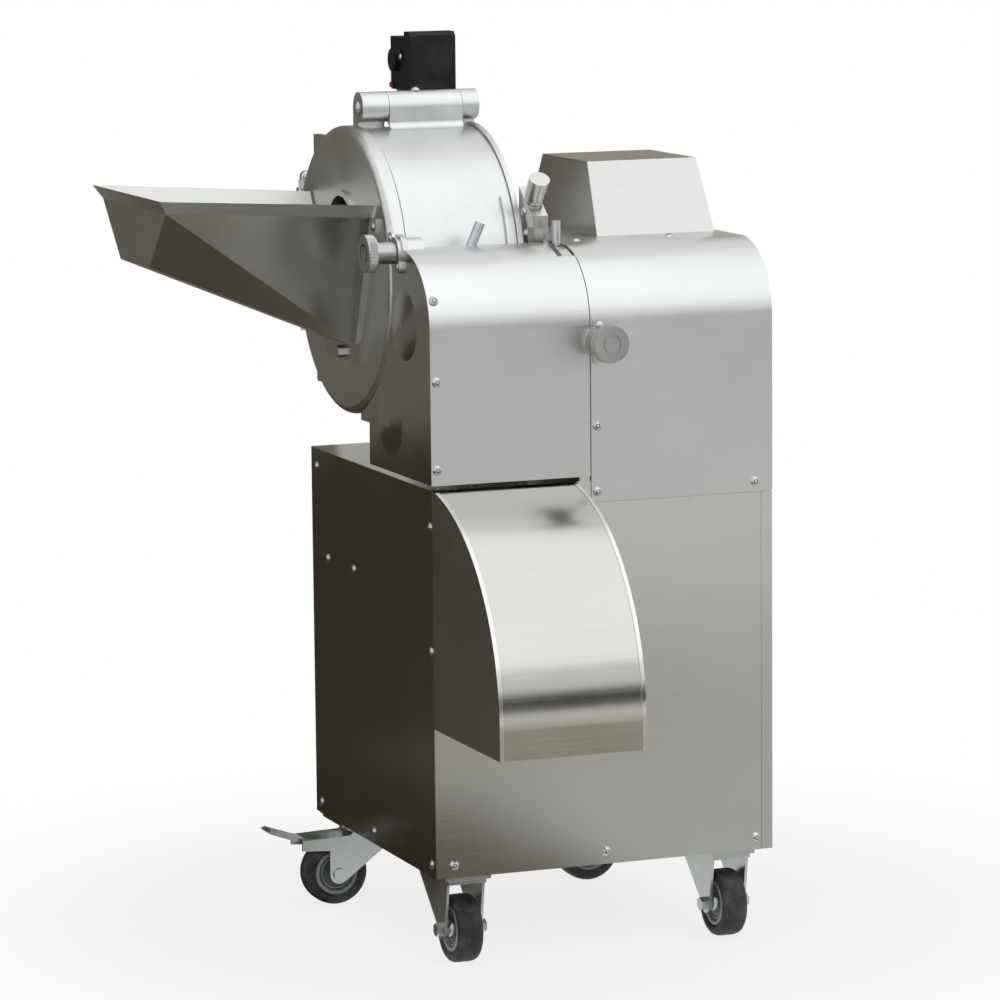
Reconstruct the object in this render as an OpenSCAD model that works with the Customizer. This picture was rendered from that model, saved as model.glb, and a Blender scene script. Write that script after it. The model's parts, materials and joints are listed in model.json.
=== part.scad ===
// Industrial vegetable dicer on casters: hopper, hinged drum door, impeller drum,
// slicing knife, crosscut and circular knife spindles, discharge chute and belt drive.
// Millimetres, +Z up. The origin lies on the floor below the middle of the cabinet,
// +X points to the drive side and +Y to the back.

/* [Cabinet] */
// Width of the cabinet
cab_w = 400; // [380:1:440]
// Depth of the cabinet
cab_d = 400; // [390:1:440]
// Height of the cabinet's lower edge above the floor
cab_bot = 99; // [95:1:105]
// Height of the cabinet's top plate above the floor
cab_top = 525; // [515:1:530]
// Thickness of the sheet steel
sheet = 2; // [1.5:0.1:2.5]
// Width of the folded edge on the side and back panels
fold_w = 14; // [10:1:18]
// Side of the square tubes in the frame
tube = 30; // [25:1:32]
// Thickness of the top plate
deck_t = 4; // [3:0.5:5]
// How far the seam below the drive cover lies under the top plate
seam_drop = 23; // [18:1:28]

/* [Covers] */
// Height of the covers' flat top above the drum axis
cover_rise = 39; // [34:1:44]
// Radius of the covers' bent front edge
cover_r = 82; // [70:1:90]
// Width of the sliding front guard
guard_w = 184; // [170:1:200]
// Depth of the front guard's top
guard_d = 100; // [90:1:120]
// Gap between the front guard and the top plate
guard_gap = 5; // [4:0.5:7]
// Thickness of the guard's end plate
end_t = 6; // [5:0.5:8]
// Gap between covers that lie edge to edge
seam_gap = 1; // [0.5:0.1:1.5]
// Thickness of the bearing bulkhead
bulk_t = 12; // [10:0.5:12]
// Radius of the pressed bearing pads
pad_r = 38; // [34:1:38]
// How far the bearing pads stand out
pad_rise = 4; // [3:0.5:5]

/* [Belt hood] */
// Distance from the hood to the cabinet's right face
hood_in = 8; // [4:1:12]
// Width of the hood at its foot
hood_w = 142; // [136:1:144]
// Distance from the drum axis forward to the hood's front edge
hood_front = 142; // [120:1:150]
// Depth of the hood at its foot
hood_d = 214; // [210:1:220]
// Height of the hood
hood_h = 80; // [75:1:90]
// How far the hood's front and back lean in
hood_lean = 40; // [34:1:42]
// How far the hood's sides lean in
hood_side = 5; // [3:1:8]

/* [Drum] */
// Outer radius of the drum
drum_r = 158; // [140:1:176]
// Gap between the front guard's rear edge and the drum
drum_set = 22; // [20:1:28]
// Gap between the top plate and the drum
drum_clear = 55; // [52:1:70]
// Wall of the drum
drum_wall = 8; // [6:0.5:9]
// Length of the neck between the drum and the bulkhead
neck_len = 15.5; // [14:0.5:20]
// How far the drum door's rim stands out past the drum
door_lip = 3; // [2:0.5:4]
// Depth of the drum door
door_depth = 19.5; // [18:0.5:22]
// Wall of the drum door
door_wall = 6; // [5:0.5:7]
// Radius of the drum door's rounded rim
door_edge = 9; // [7:0.5:10]
// Gap between the drum door and the drum
door_gap = 2; // [0.8:0.1:3]
// Width of the feed opening
feed_w = 84; // [76:1:86]
// Top of the feed opening above the drum axis
feed_up = 84; // [78:1:88]
// Foot of the feed opening below the drum axis
feed_down = 64; // [58:1:68]
// Distance from the door's rim to its hinge axis
hinge_set = 9; // [9:0.5:14]
// Radius of the raised bead round the feed opening
bead_r = 4; // [3:0.5:5]

/* [Hopper] */
// Length of the hopper
hop_len = 239; // [220:1:250]
// Middle of the hopper, in front of the drum axis
hop_off = 6; // [0:1:8]
// Width of the hopper floor
hop_floor = 90; // [88:1:94]
// Width between the side walls at the fold below the rim
hop_top = 200; // [190:1:206]
// Foot of the hopper below the drum axis, at the drum door
hop_foot = 81; // [78:1:84]
// Rise of the hopper floor to its outer end
hop_rise = 100; // [80:1:110]
// Fold below the rim, above the drum axis at the drum door
hop_fold = 67; // [60:1:72]
// Rise of the rim to the outer end
hop_tilt = 15; // [6:1:18]
// How far each side wall spreads to the outer end
hop_spread = 18; // [8:1:24]
// Height of the flared rim
rim_h = 14; // [10:1:18]
// How far the flared rim leans out
rim_flare = 9; // [6:1:12]
// Margin of the flange round the hopper's end
flange_w = 18; // [15:1:20]
// Thickness of the hopper's end flange
flange_t = 4; // [3:0.5:5]

/* [Slice gate] */
// Lower end of the gate, in degrees above the front
gate_from = 13; // [12:1:20]
// Upper end of the gate, in degrees above the front
gate_to = 85; // [82:1:86]
// Rise of the gate's hinge axis above the drum
barrel_rise = 23; // [22:0.5:28]
// Outer radius of the hinge barrel
barrel_r = 17; // [15:0.5:18]
// Radius of the gate hinge pin
gate_pin_r = 6; // [5:0.5:7]
// Length of the left outer knuckle
knuckle_l = 31; // [26:1:34]
// Length of the right outer knuckle
knuckle_r = 20; // [16:1:24]
// Play between turning parts
play = 0.5; // [0.3:0.1:0.8]
// Radial clearance of a shaft in its hole
fit = 0.08; // [0.05:0.01:0.1]

// Width of the guide rib at the gate's lower right corner
guide_w = 4; // [3:0.5:5]
// Height of the guide rib
guide_h = 4; // [2:0.5:5]

/* [Knives] */
// Gap between the drum and the circular knives
circ_gap = 6; // [4:0.5:8]
// Direction from the drum to the circular knives, in degrees below the front
circ_dir = 45; // [43:1:46]
// Gap between the drum and the crosscut knives
cross_gap = 4; // [4:0.5:6]
// Direction from the drum to the crosscut knives, in degrees below the front
cross_dir = 12; // [11:1:14]
// Gap between the drum and the knife holder
knife_set = 4; // [4:0.5:6]
// Radius of the crosscut knife edges
cross_r = 44; // [40:1:45]
// Radius of the circular knives
circ_r = 52; // [48:1:54]
// Radius of the knife spindles
spindle_r = 12; // [10:0.5:13]
// Number of circular knives
circ_n = 13; // [9:1:15]
// Number of crosscut knives
cross_n = 8; // [6:1:10]
// Number of impeller paddles
paddle_n = 4; // [3:1:5]
// Radius of the main shaft
shaft_r = 15; // [13:0.5:16]
// Thickness of the knife blades
blade_t = 1.6; // [1.2:0.1:2]

/* [Drive] */
// Height of the motor axis
motor_z = 290; // [280:1:300]
// Radius of the motor body
motor_r = 72; // [65:1:75]
// Length of the motor body
motor_len = 180; // [160:1:190]
// Radius of the motor pulley
pulley_a = 45; // [40:1:50]
// Radius of the driven pulley
pulley_b = 70; // [65:1:72]
// Width of the pulleys
pulley_w = 20; // [18:1:22]
// Depth of the drive belt
belt_t = 8; // [6:0.5:9]
// Width of the drive belt
belt_w = 12; // [10:0.5:13]

/* [Chute] */
// Width of the discharge chute
chute_w = 166; // [160:1:172]
// Radius of the chute's curved front
chute_r = 231; // [225:1:235]
// Centre of the chute's curve, behind the cabinet's front face
chute_y = 36; // [32:1:40]
// Straight drop at the chute's mouth
chute_drop = 32; // [25:1:40]

/* [Locks] */
// Radius of the lock knobs
knob_r = 20; // [18:0.5:21]
// Length of the lock knobs' heads
knob_h = 11; // [9:0.5:26]
// Radius of the knobs' necks
neck_r = 13; // [11:0.5:14]
// Length of the knobs' necks
neck_h = 23; // [12:1:26]
// Radius of the lock shafts
lock_shaft_r = 6; // [5:0.5:7]
// Distance from the door's rim to the door lock's axis
lock_gap = 23; // [22:0.5:26]
// Drop of the door lock's axis below the covers' top
lock_drop = 4; // [2:0.5:8]
// Height of the guard lock below the covers' top
guard_lock_down = 100; // [95:1:105]

/* [Switch and buttons] */
// Width of the safety switch
switch_w = 54; // [48:1:58]
// Height of the safety switch
switch_h = 67; // [60:1:72]
// Depth of the safety switch's lid
lid_d = 22; // [18:1:26]
// Depth of the safety switch behind its lid
switch_d = 50; // [40:1:60]
// Gap between the gate hinge axis and the safety switch
switch_set = 50; // [44:1:56]
// Distance from the cabinet's front face to the buttons
button_y = 120; // [100:1:140]
// Radius of the buttons
button_r = 10; // [8:0.5:12]
// Distance between the buttons
button_gap = 50; // [45:1:60]
// Distance from the covers' top to the upper button
button_drop = 80; // [75:1:100]
// Distance from the guard's left end to the rinse pipe
rinse_x = 80; // [60:1:100]

/* [Casters] */
// Radius of the wheels
wheel_r = 37.5; // [35:0.5:38]
// Width of the wheels
wheel_w = 30; // [26:1:32]
// Distance from the wheels' middle to the cabinet's side
caster_in = 36; // [34:1:38]
// Distance from the front axle to the cabinet's front face
axle_in = 24; // [20:1:28]
// Distance from the rear swivels to the cabinet's back
swivel_in = 52; // [50:1:56]
// Trail of the swivel casters
trail = 34; // [30:1:36]
// Reach of the front forks behind their axle
fork_back = 78; // [60:1:84]
// Length of the rear forks' arms over the wheel
arm_len = 33; // [24:1:36]
// Width of the brake pedals
pedal_w = 28; // [20:1:34]
// Thickness of the caster forks and plates
fork_t = 3; // [2.5:0.1:3.5]
// Radius of the axle bolts
axle_r = 4; // [3.5:0.1:4.5]

/* [Screws] */
// Radius of the cover screws' heads
screw_r = 5.5; // [4.5:0.1:6]
// Height of the cover screws' heads
screw_h = 3; // [2.5:0.1:3.5]
// Distance of a screw from the edge of its sheet
screw_in = 7; // [6:0.5:9]

/* [Hidden] */
$fn = 64;
far = 1000;
steel = [0.78, 0.78, 0.76];
dark_steel = [0.45, 0.44, 0.42];
cast_alu = [0.86, 0.87, 0.88];
zinc = [0.72, 0.73, 0.75];
black = [0.1, 0.1, 0.11];
grey_paint = [0.35, 0.42, 0.48];
panel_w = cab_w - fold_w;
seam_z = cab_top - seam_drop;
guard_z = cab_top + guard_gap;
drive_x = guard_w + seam_gap;
bulk_x = guard_w - bulk_t;
drum_y = guard_d + drum_set + drum_r;
drum_z = cab_top + drum_clear + drum_r;
cover_top = drum_z + cover_rise;
door_r = drum_r + door_lip;
drum_x = door_depth + door_gap;
drum_end = bulk_x - neck_len;
drum_len = drum_end - drum_x;
drum_in = drum_r - drum_wall;
rib_w = 6;
gate_end = drum_end - rib_w - play;
barrel_z = drum_z + drum_r + barrel_rise;
barrel_end = drum_end + 3.5;
hood_x = cab_w - hood_in - hood_w;
hood_y = drum_y - hood_front;
hop_y = drum_y - hop_off;
feed_mid = feed_w / 2;
knife_x = 28;
circ_pitch = 10;
circ_x = knife_x + 2;
circ_hub = spindle_r + 12;
circ_dist = drum_r + circ_r + circ_gap;
circ_y = drum_y - circ_dist * cos(circ_dir);
circ_z = drum_z - circ_dist * sin(circ_dir);
cross_dist = drum_r + cross_r + cross_gap;
cross_y = drum_y - cross_dist * cos(cross_dir);
cross_z = drum_z - cross_dist * sin(cross_dir);
holder = 12;
knife_y = drum_y - drum_r - knife_set - holder;
flange_h = 4;
lock_screw = neck_r + 5;
lock_dist = door_r + lock_gap;
lock_z = cover_top - lock_drop;
lock_y = drum_y - sqrt(lock_dist * lock_dist - (lock_z - drum_z) * (lock_z - drum_z));
lock_dir = asin((lock_z - drum_z) / lock_dist);
ear_r = lock_gap - door_gap - 1;
boss_r = neck_r + 3;
boss_len = knife_x - 2;
pawl_t = 4;
pawl_x = door_depth - pawl_t - 3;
pawl_len = lock_gap + 4;
guard_lock_x = drive_x + lock_shaft_r + 3;
guard_lock_z = cover_top - guard_lock_down;
hinge_x = door_depth - 3;
hinge_y = drum_y + door_r + hinge_set;
hinge_pin_r = 5;
knuckle_h = 18;
knuckle_in = hinge_pin_r + 6;
hinge_zs = [drum_z - 56, drum_z + 56];
lug_h = 14;
lug_zs = [for (z = hinge_zs) each [z - knuckle_h / 2 - play - lug_h, z + knuckle_h / 2 + play]];
switch_x = barrel_end - 3 - switch_w;
switch_y = drum_y + switch_set;
switch_z = barrel_z + 12;
bulk_top = cover_top - sheet - play;
adj_x = drum_end + 3.5;
adj_w = guard_w - 6 - adj_x;
adj_y = guard_d + 4;
adj_z = bulk_top + 31;
adj_run = 40;
adj_climb = 30;
adj_back = [adj_y + adj_run, adj_z + adj_climb];
adj_mid = [adj_x + adj_w / 2, adj_y + adj_run / 2, adj_z + adj_climb / 2];
adj_lean = atan(adj_climb / adj_run);
pulley_x = cab_w - sheet - tube - pulley_w - 2;
motor_end = pulley_x - 26;
motor_shaft_r = 10;
motor_bed_z = motor_z - motor_r - 12;
button_zs = [cover_top - button_drop - button_gap, cover_top - button_drop];
window_in = sheet + tube + 4;
window_w = chute_w - window_in - sheet;
window_top = cab_top - deck_t - tube - 3;
slide_top_y = circ_y + circ_r + 10;
chute_z = cab_top - sqrt(chute_r * chute_r - chute_y * chute_y);
mouth_z = chute_z - chute_drop;
window_bot = mouth_z + 24;
caster_xs = [caster_in, panel_w - caster_in];
front_axle_y = axle_in;
swivel_y = cab_d - swivel_in;
fork_in = wheel_w / 2 + 4;
arm_low = 2 * wheel_r - 9;
arm_top = 2 * wheel_r + 7;
plate_t = 4;
fork_top = cab_bot - plate_t;
pivot_r = 2.5;
pivot_in = 18;
pivot_z = 2 * wheel_r + 4.5;

// Places geometry measured from the cabinet's left and front faces
module stand() {
    translate([-cab_w / 2, -cab_d / 2, 0]) children();
}

// Extrudes an outline drawn in the YZ plane along X
module along_x(x, len) {
    translate([x, 0, 0]) rotate([90, 0, 90]) linear_extrude(len) children();
}

// Round bar along X
module rod_x(x, len, r, y, z) {
    translate([x, y, z]) rotate([0, 90, 0]) cylinder(h = len, r = r);
}

// Round bar along Y
module rod_y(y, len, r, x, z) {
    translate([x, y, z]) rotate([-90, 0, 0]) cylinder(h = len, r = r);
}

// Box given by its low and high corners
module block(low, high) {
    translate(low) cube(high - low);
}

// Domed screw head standing on z = 0
module dome(r, h) {
    ball = (r * r + h * h) / (2 * h);
    intersection() {
        translate([0, 0, h - ball]) sphere(ball);
        cylinder(h = h, r = r);
    }
}

// Domed screw head on a face that looks to -Y
module dome_front(x, y, z) {
    translate([x, y, z]) rotate([90, 0, 0]) dome(screw_r, screw_h);
}

// Domed screw head on a face that looks to -X
module dome_left(x, y, z) {
    translate([x, y, z]) rotate([0, -90, 0]) dome(screw_r, screw_h);
}

// Cross-section of the covers, set in from their outside
module cover_outline(inset, foot, depth) {
    translate([inset, foot]) square([depth - inset, cover_top - cover_r - foot]);
    translate([cover_r, foot]) square([depth - cover_r, cover_top - inset - foot]);
    translate([cover_r, cover_top - cover_r]) intersection() {
        circle(cover_r - inset);
        translate([-cover_r, 0]) square(cover_r);
    }
}

// Sector seen from the drive end, between two angles above the front
module sector(from, to) {
    middle = (from + to) / 2;
    polygon([[0, 0], for (a = [from, middle, to]) far * [-cos(a), sin(a)]]);
}

// Point on a circle round the drum axis at an angle above the front
function drum_at(r, a) = [drum_y - r * cos(a), drum_z + r * sin(a)];

// Closed solid through a row of four-cornered sections
module loft(rows) {
    n = len(rows);
    points = [for (row = rows) each row];
    sides = [for (i = [0 : n - 2], k = [0 : 3])
        let (a = 4 * i + k, b = 4 * i + (k + 1) % 4) [a, a + 4, b + 4, b]];
    caps = [[0, 1, 2, 3], [for (k = [3 : -1 : 0]) 4 * (n - 1) + k]];
    polyhedron(points, concat(sides, caps));
}

module base_frame() {
    top = cab_top - deck_t;
    lo = sheet;
    hi_x = cab_w - sheet;
    hi_y = cab_d - sheet;
    color(dark_steel) stand() difference() {
        union() {
            for (x = [lo, hi_x - tube], y = [lo, hi_y - tube])
                block([x, y, cab_bot], [x + tube, y + tube, top]);
            for (z = [cab_bot, top - tube]) {
                for (x = [lo, hi_x - tube])
                    block([x, lo, z], [x + tube, hi_y, z + tube]);
                for (y = [lo, hi_y - tube])
                    block([lo, y, z], [hi_x, y + tube, z + tube]);
            }
            motor_bed();
        }
        along_x(pulley_x - 1, pulley_w + 2) translate([drum_y, motor_z]) belt_outline(-5);
    }
}

// Cross members that carry the motor's feet
module motor_bed() {
    low = motor_bed_z - tube;
    for (y = [drum_y - 60, drum_y + 40])
        block([sheet, y, low], [cab_w - sheet, y + 20, motor_bed_z]);
    for (x = [sheet, cab_w - sheet - tube])
        block([x, sheet, low], [x + tube, cab_d - sheet, motor_bed_z]);
}

module front_panel() {
    color(steel) stand() difference() {
        union() {
            block([sheet, 0, cab_bot], [panel_w, sheet, seam_z - seam_gap]);
            block([sheet, 0, cab_bot], [guard_w, sheet, cab_top]);
        }
        block([window_in, -1, window_bot], [window_in + window_w, sheet + 1, window_top]);
    }
}

module left_panel() {
    color(dark_steel) stand()
        block([0, 0, cab_bot], [sheet, cab_d - fold_w, cab_top]);
}

module right_panel() {
    color(steel) stand() {
        block([cab_w - sheet, sheet, cab_bot], [cab_w, cab_d, seam_z - seam_gap]);
        block([panel_w + seam_gap, sheet / 2, cab_bot], [cab_w, sheet, seam_z - seam_gap]);
    }
}

module back_panel() {
    color(steel) stand() {
        block([sheet / 2, cab_d - sheet, cab_bot], [cab_w - sheet, cab_d, cab_top]);
        block([sheet / 2, cab_d - fold_w + seam_gap, cab_bot], [sheet, cab_d, cab_top]);
        block([drive_x, cab_d - sheet, cab_top], [cab_w - sheet, cab_d, cover_top - sheet]);
    }
}

module deck_plate() {
    color(steel) stand() difference() {
        block([sheet, sheet, cab_top - deck_t], [cab_w - sheet, cab_d - sheet, cab_top]);
        block([window_in, window_in, cab_top - deck_t - 1],
            [window_in + window_w, slide_top_y, cab_top + 1]);
        block([pulley_x - 4, drum_y - pulley_b - 14, cab_top - deck_t - 1],
            [pulley_x + pulley_w + 2, drum_y + pulley_b + 14, cab_top + 1]);
    }
}

module panel_screws() {
    low = cab_bot + 2 * screw_in;
    side_ys = [2 * screw_in, cab_d / 2, cab_d - fold_w - screw_in];
    color(zinc) stand() {
        for (x = [3 * screw_in, cab_w / 2, panel_w - screw_in])
            dome_front(x, 0, low);
        for (y = side_ys)
            dome_left(0, y, low);
        for (z = [cab_bot + 250, cab_top - 40])
            dome_left(0, screw_in, z);
        for (y = [drum_y - 24, drum_y + 64])
            dome_left(0, y, cab_top - 122);
        dome_left(0, cab_d - fold_w - screw_in, cab_top - 20);
        for (x = [drive_x + screw_in, panel_w - screw_in])
            dome_front(x, 0, seam_z + screw_in + 4);
        dome_front(drive_x + screw_in, 0, guard_lock_z - 92);
        for (x = [hood_x - 40, hood_x + hood_w / 2])
            translate([x, cover_r + 20, cover_top]) dome(screw_r, screw_h);
    }
}

// Side outline of the chute, set in from its outside
module chute_outline(inset) {
    intersection() {
        translate([chute_y - chute_r, mouth_z - 1])
            square([chute_r - chute_y, chute_r + chute_drop + 1]);
        union() {
            translate([chute_y, chute_z]) circle(chute_r - inset);
            translate([chute_y - chute_r + inset, mouth_z - 1])
                square([chute_r - inset, chute_drop + 1]);
        }
    }
}

module discharge_chute() {
    color(steel) stand() difference() {
        along_x(0, chute_w) chute_outline(0);
        along_x(sheet, chute_w - 2 * sheet) chute_outline(sheet);
        block([-1, -far, mouth_z - 2], [chute_w + 1, 1, mouth_z]);
    }
}

// Bent sheet below the knives that carries the pieces out into the chute
module product_slide() {
    lip = 20;
    x = window_in + 1;
    w = window_w - 2;
    top = cab_top - deck_t;
    color(steel) stand() {
        along_x(x, w) polygon([[sheet + 1, window_bot], [slide_top_y, top],
            [slide_top_y, top - 3 * sheet], [sheet + 1, window_bot - 3 * sheet]]);
        for (side = [x, x + w - sheet])
            along_x(side, sheet) polygon([[sheet + 1, window_bot], [slide_top_y, top],
                [slide_top_y - lip, top], [sheet + 1, window_bot + lip]]);
    }
}

module front_cover() {
    notch_w = 20;
    color(steel) stand() difference() {
        along_x(0, guard_w) difference() {
            cover_outline(0, guard_z, guard_d);
            cover_outline(sheet, guard_z, guard_d);
        }
        block([guard_w - notch_w, cover_r - 40, cover_top - cover_r / 2],
            [guard_w + 1, guard_d + 1, cover_top + 1]);
        rod_x(-1, boss_len + 2, boss_r + play, lock_y, lock_z);
    }
}

// Outline of the guard's end plate
module end_outline() {
    tail = drum_y - 55;
    foot_tail = slide_top_y + 7;
    foot_h = drum_z - door_r - guard_z;
    difference() {
        union() {
            intersection() {
                cover_outline(sheet, guard_z, guard_d + 40);
                translate([0, guard_z]) square([lock_y, far]);
            }
            translate([lock_y - 1, guard_z]) square([tail - lock_y, lock_z - guard_z]);
            translate([lock_y, lock_z]) circle(ear_r);
        }
        translate([drum_y, drum_z]) circle(door_r + door_gap + 1);
        translate([foot_tail, guard_z - 1]) square([far, foot_h]);
        translate([0, cover_top - sheet]) square([guard_d, sheet]);
    }
}

module end_plate() {
    color(dark_steel) stand() difference() {
        union() {
            along_x(0, end_t) end_outline();
            for (c = [[cross_y, cross_z], [circ_y, circ_z]])
                translate([0, c[0], c[1]]) rotate([0, -90, 0]) dome(pad_r, pad_rise);
        }
        for (c = [[cross_y, cross_z], [circ_y, circ_z]])
            rod_x(2, end_t, spindle_r + 10, c[0], c[1]);
        rod_x(-1, end_t + 2, boss_r, lock_y, lock_z);
    }
}

module cover_screws() {
    bend = 24;
    color(zinc) stand() {
        for (z = [guard_z + 17, guard_z + 112])
            dome_front(screw_in, 0, z);
        translate([screw_in, cover_r, cover_top - cover_r]) rotate([90 - bend, 0, 0])
            translate([0, 0, cover_r]) dome(screw_r, screw_h);
    }
}

module rinse_pipe() {
    lean = 24;
    len = 34;
    color(zinc) stand() difference() {
        translate([rinse_x, guard_d - 8, cover_top - 6]) rotate([0, lean, 0]) difference() {
            cylinder(h = len, r = 5.5);
            translate([0, 0, 10]) cylinder(h = len, r = 2.2);
        }
        block([0, 0, 0], [guard_w, guard_d, cover_top]);
    }
}

// Oval flange of a lock with its two screws, along -X from x = 0
module lock_flange() {
    rotate([0, -90, 0]) {
        linear_extrude(flange_h) {
            circle(boss_r + 1);
            square([2 * lock_screw, 14], center = true);
            for (s = [-1, 1])
                translate([s * lock_screw, 0]) circle(7);
        }
        for (s = [-1, 1])
            translate([s * lock_screw, 0, flange_h]) dome(4.5, 2.5);
    }
}

// Turned knob with its shaft, along -X from the lock's flange
module lock_knob(depth) {
    start = flange_h + play;
    head = start + neck_h;
    rotate([0, -90, 0]) difference() {
        union() {
            translate([0, 0, -depth]) cylinder(h = depth + head, r = lock_shaft_r);
            translate([0, 0, start]) cylinder(h = neck_h, r = neck_r - 1);
            translate([0, 0, head]) cylinder(h = knob_h, r = knob_r);
        }
        translate([0, 0, head + knob_h - 2]) difference() {
            cylinder(h = 3, r = knob_r * 0.55);
            cylinder(h = 3, r = knob_r * 0.42);
        }
    }
}

// Bearing of the door lock with a window for the pawl
module door_lock_housing() {
    tilt = 35;
    color(cast_alu) stand() translate([0, lock_y, lock_z]) difference() {
        union() {
            rotate([-tilt, 0, 0]) lock_flange();
            rod_x(0, boss_len, boss_r, 0, 0);
        }
        rod_x(-far, 2 * far, lock_shaft_r + fit, 0, 0);
        along_x(pawl_x - play, pawl_t + 2 * play)
            sector(125 + lock_dir, 325 + lock_dir);
    }
}

// Knob of the door lock with the pawl that turns into the door's rim
module door_lock_knob() {
    color(cast_alu) stand() translate([0, lock_y, lock_z]) {
        lock_knob(boss_len);
        along_x(pawl_x, pawl_t) rotate(-lock_dir)
            translate([-4, -pawl_len]) square([8, pawl_len]);
    }
}

module guard_lock_housing() {
    color(cast_alu) stand() translate([guard_lock_x, -play, guard_lock_z]) rotate([0, 0, 90])
        difference() {
            union() {
                lock_flange();
                rod_x(0, play, lock_shaft_r + 2, 0, 0);
            }
            rod_x(-far, 2 * far, lock_shaft_r + fit, 0, 0);
        }
}

module guard_lock_knob() {
    color(cast_alu) stand() translate([guard_lock_x, -play, guard_lock_z]) rotate([0, 0, 90])
        lock_knob(32);
}

// Feed opening of the drum door, wider by the given margin
module feed_outline(margin) {
    r = feed_mid + margin;
    top = feed_up - feed_mid;
    foot = feed_mid - feed_down;
    for (z = [foot, top])
        translate([-hop_off, z]) circle(r);
    translate([-hop_off - r, foot]) square([2 * r, top - foot]);
}

// Half section of the door's pan, turned about the drum axis
module door_section() {
    difference() {
        union() {
            square([door_r - door_edge, door_depth]);
            translate([0, door_edge]) square([door_r, door_depth - door_edge]);
            translate([door_r - door_edge, door_edge]) circle(door_edge);
        }
        translate([-1, door_wall]) square([drum_in + 1, door_depth]);
    }
}

module drum_door() {
    color(cast_alu) stand() difference() {
        translate([0, drum_y, drum_z]) difference() {
            union() {
                rotate([0, 90, 0]) rotate_extrude() door_section();
                along_x(-bead_r, bead_r + 1) feed_outline(bead_r + 2);
            }
            along_x(-bead_r - 1, door_depth) feed_outline(0);
        }
        rod_x(pawl_x - play, pawl_t + 2 * play, pawl_len + 2, lock_y, lock_z);
    }
}

// Corners of the hopper's cross-section at the drum (s = 0) or the outer end (s = 1)
function hop_section(s, x, wall) = let (
    foot = drum_z - hop_foot + s * hop_rise + wall,
    top = drum_z + hop_fold + s * hop_tilt,
    a = hop_floor / 2 + s * hop_spread / 2 - wall,
    b = hop_top / 2 + s * hop_spread - wall)
    [[x, hop_y - a, foot], [x, hop_y + a, foot], [x, hop_y + b, top], [x, hop_y - b, top]];

// Hopper body whose side walls are bent along a diagonal
module hop_body(near, end, wall) {
    faces = [[3, 2, 1, 0], [4, 5, 6, 7], [1, 5, 4, 0], [7, 6, 2, 3],
        [7, 3, 0], [4, 7, 0], [2, 6, 1], [6, 5, 1]];
    polyhedron(concat(hop_section(0, near, wall), hop_section(1, end, wall)), faces);
}

// Corners of the flared rim at its fold (up = 0) or its edge (up = 1)
function rim_section(up, near, wall) = let (
    out = up * rim_flare - wall,
    half = hop_top / 2 + out,
    wide = half + hop_spread,
    end = -flange_t - hop_len - out,
    z = drum_z + hop_fold + up * rim_h)
    [[end, hop_y - wide, z + hop_tilt], [near, hop_y - half, z],
        [near, hop_y + half, z], [end, hop_y + wide, z + hop_tilt]];

module hopper() {
    near = -flange_t / 2;
    end = -flange_t - hop_len;
    foot = drum_z - hop_foot;
    fold = drum_z + hop_fold;
    a = hop_floor / 2;
    b = hop_top / 2;
    m = flange_w;
    color(steel) stand() difference() {
        union() {
            hop_body(near, end, 0);
            loft([for (u = [0, 1]) rim_section(u, near, 0)]);
            along_x(-flange_t, flange_t) polygon([[hop_y - a - m / 2, foot - m],
                [hop_y + a + m / 2, foot - m], [hop_y + b + m, fold - m],
                [hop_y + b + m, fold], [hop_y - b - m, fold], [hop_y - b - m, fold - m]]);
        }
        hop_body(0, end + sheet, sheet);
        loft([for (u = [-0.2, 1.2]) rim_section(u, 1, sheet)]);
        along_x(-flange_t - 1, flange_t + 2) polygon([for (c = hop_section(0, 0, sheet)) [c[1], c[2]]]);
        along_x(-bead_r - 1, bead_r + 2) translate([drum_y, drum_z]) feed_outline(bead_r + 3);
    }
}

module hopper_fasteners() {
    foot = drum_z - hop_foot - flange_w / 2;
    side = hop_top / 2 + flange_w / 2;
    color(zinc) stand() {
        translate([-flange_t, hop_y, foot]) rotate([0, -90, 0]) cylinder(h = 6, r = 7, $fn = 6);
        for (s = [-1, 1])
            dome_left(-flange_t, hop_y + s * side, drum_z + hop_fold - flange_w / 2);
    }
}

// Hinge arms on the drum door
module door_hinge_arms() {
    plate = 8;
    root = hinge_y - 42;
    color(cast_alu) stand() difference() {
        for (z = hinge_zs) {
            block([-plate, root, z - knuckle_h / 2], [0, hinge_y + 8, z + knuckle_h / 2]);
            block([-plate, hinge_y - knuckle_in, z - knuckle_h / 2], [hinge_x, hinge_y + 8, z + knuckle_h / 2]);
            translate([hinge_x, hinge_y, z - knuckle_h / 2]) cylinder(h = knuckle_h, r = knuckle_in);
        }
        translate([hinge_x, hinge_y, 0]) cylinder(h = far, r = hinge_pin_r + fit);
    }
}

module door_hinge_bracket() {
    plate = 8;
    reach = drum_r - 16;
    root = drum_y + sqrt(drum_r * drum_r - reach * reach) - 4;
    edge = hinge_y - knuckle_in - hinge_set / 2;
    color(steel) stand() difference() {
        union() {
            along_x(drum_x, plate) difference() {
                union() {
                    translate([root, drum_z - reach]) square([edge - root, 2 * reach]);
                    for (z = lug_zs)
                        translate([root, z]) square([hinge_y - root, lug_h]);
                }
                translate([drum_y, drum_z]) circle(drum_r + 0.2);
            }
            for (z = lug_zs)
                translate([hinge_x, hinge_y, z]) cylinder(h = lug_h, r = knuckle_in);
        }
        translate([hinge_x, hinge_y, 0]) cylinder(h = far, r = hinge_pin_r + fit);
    }
}

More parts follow.
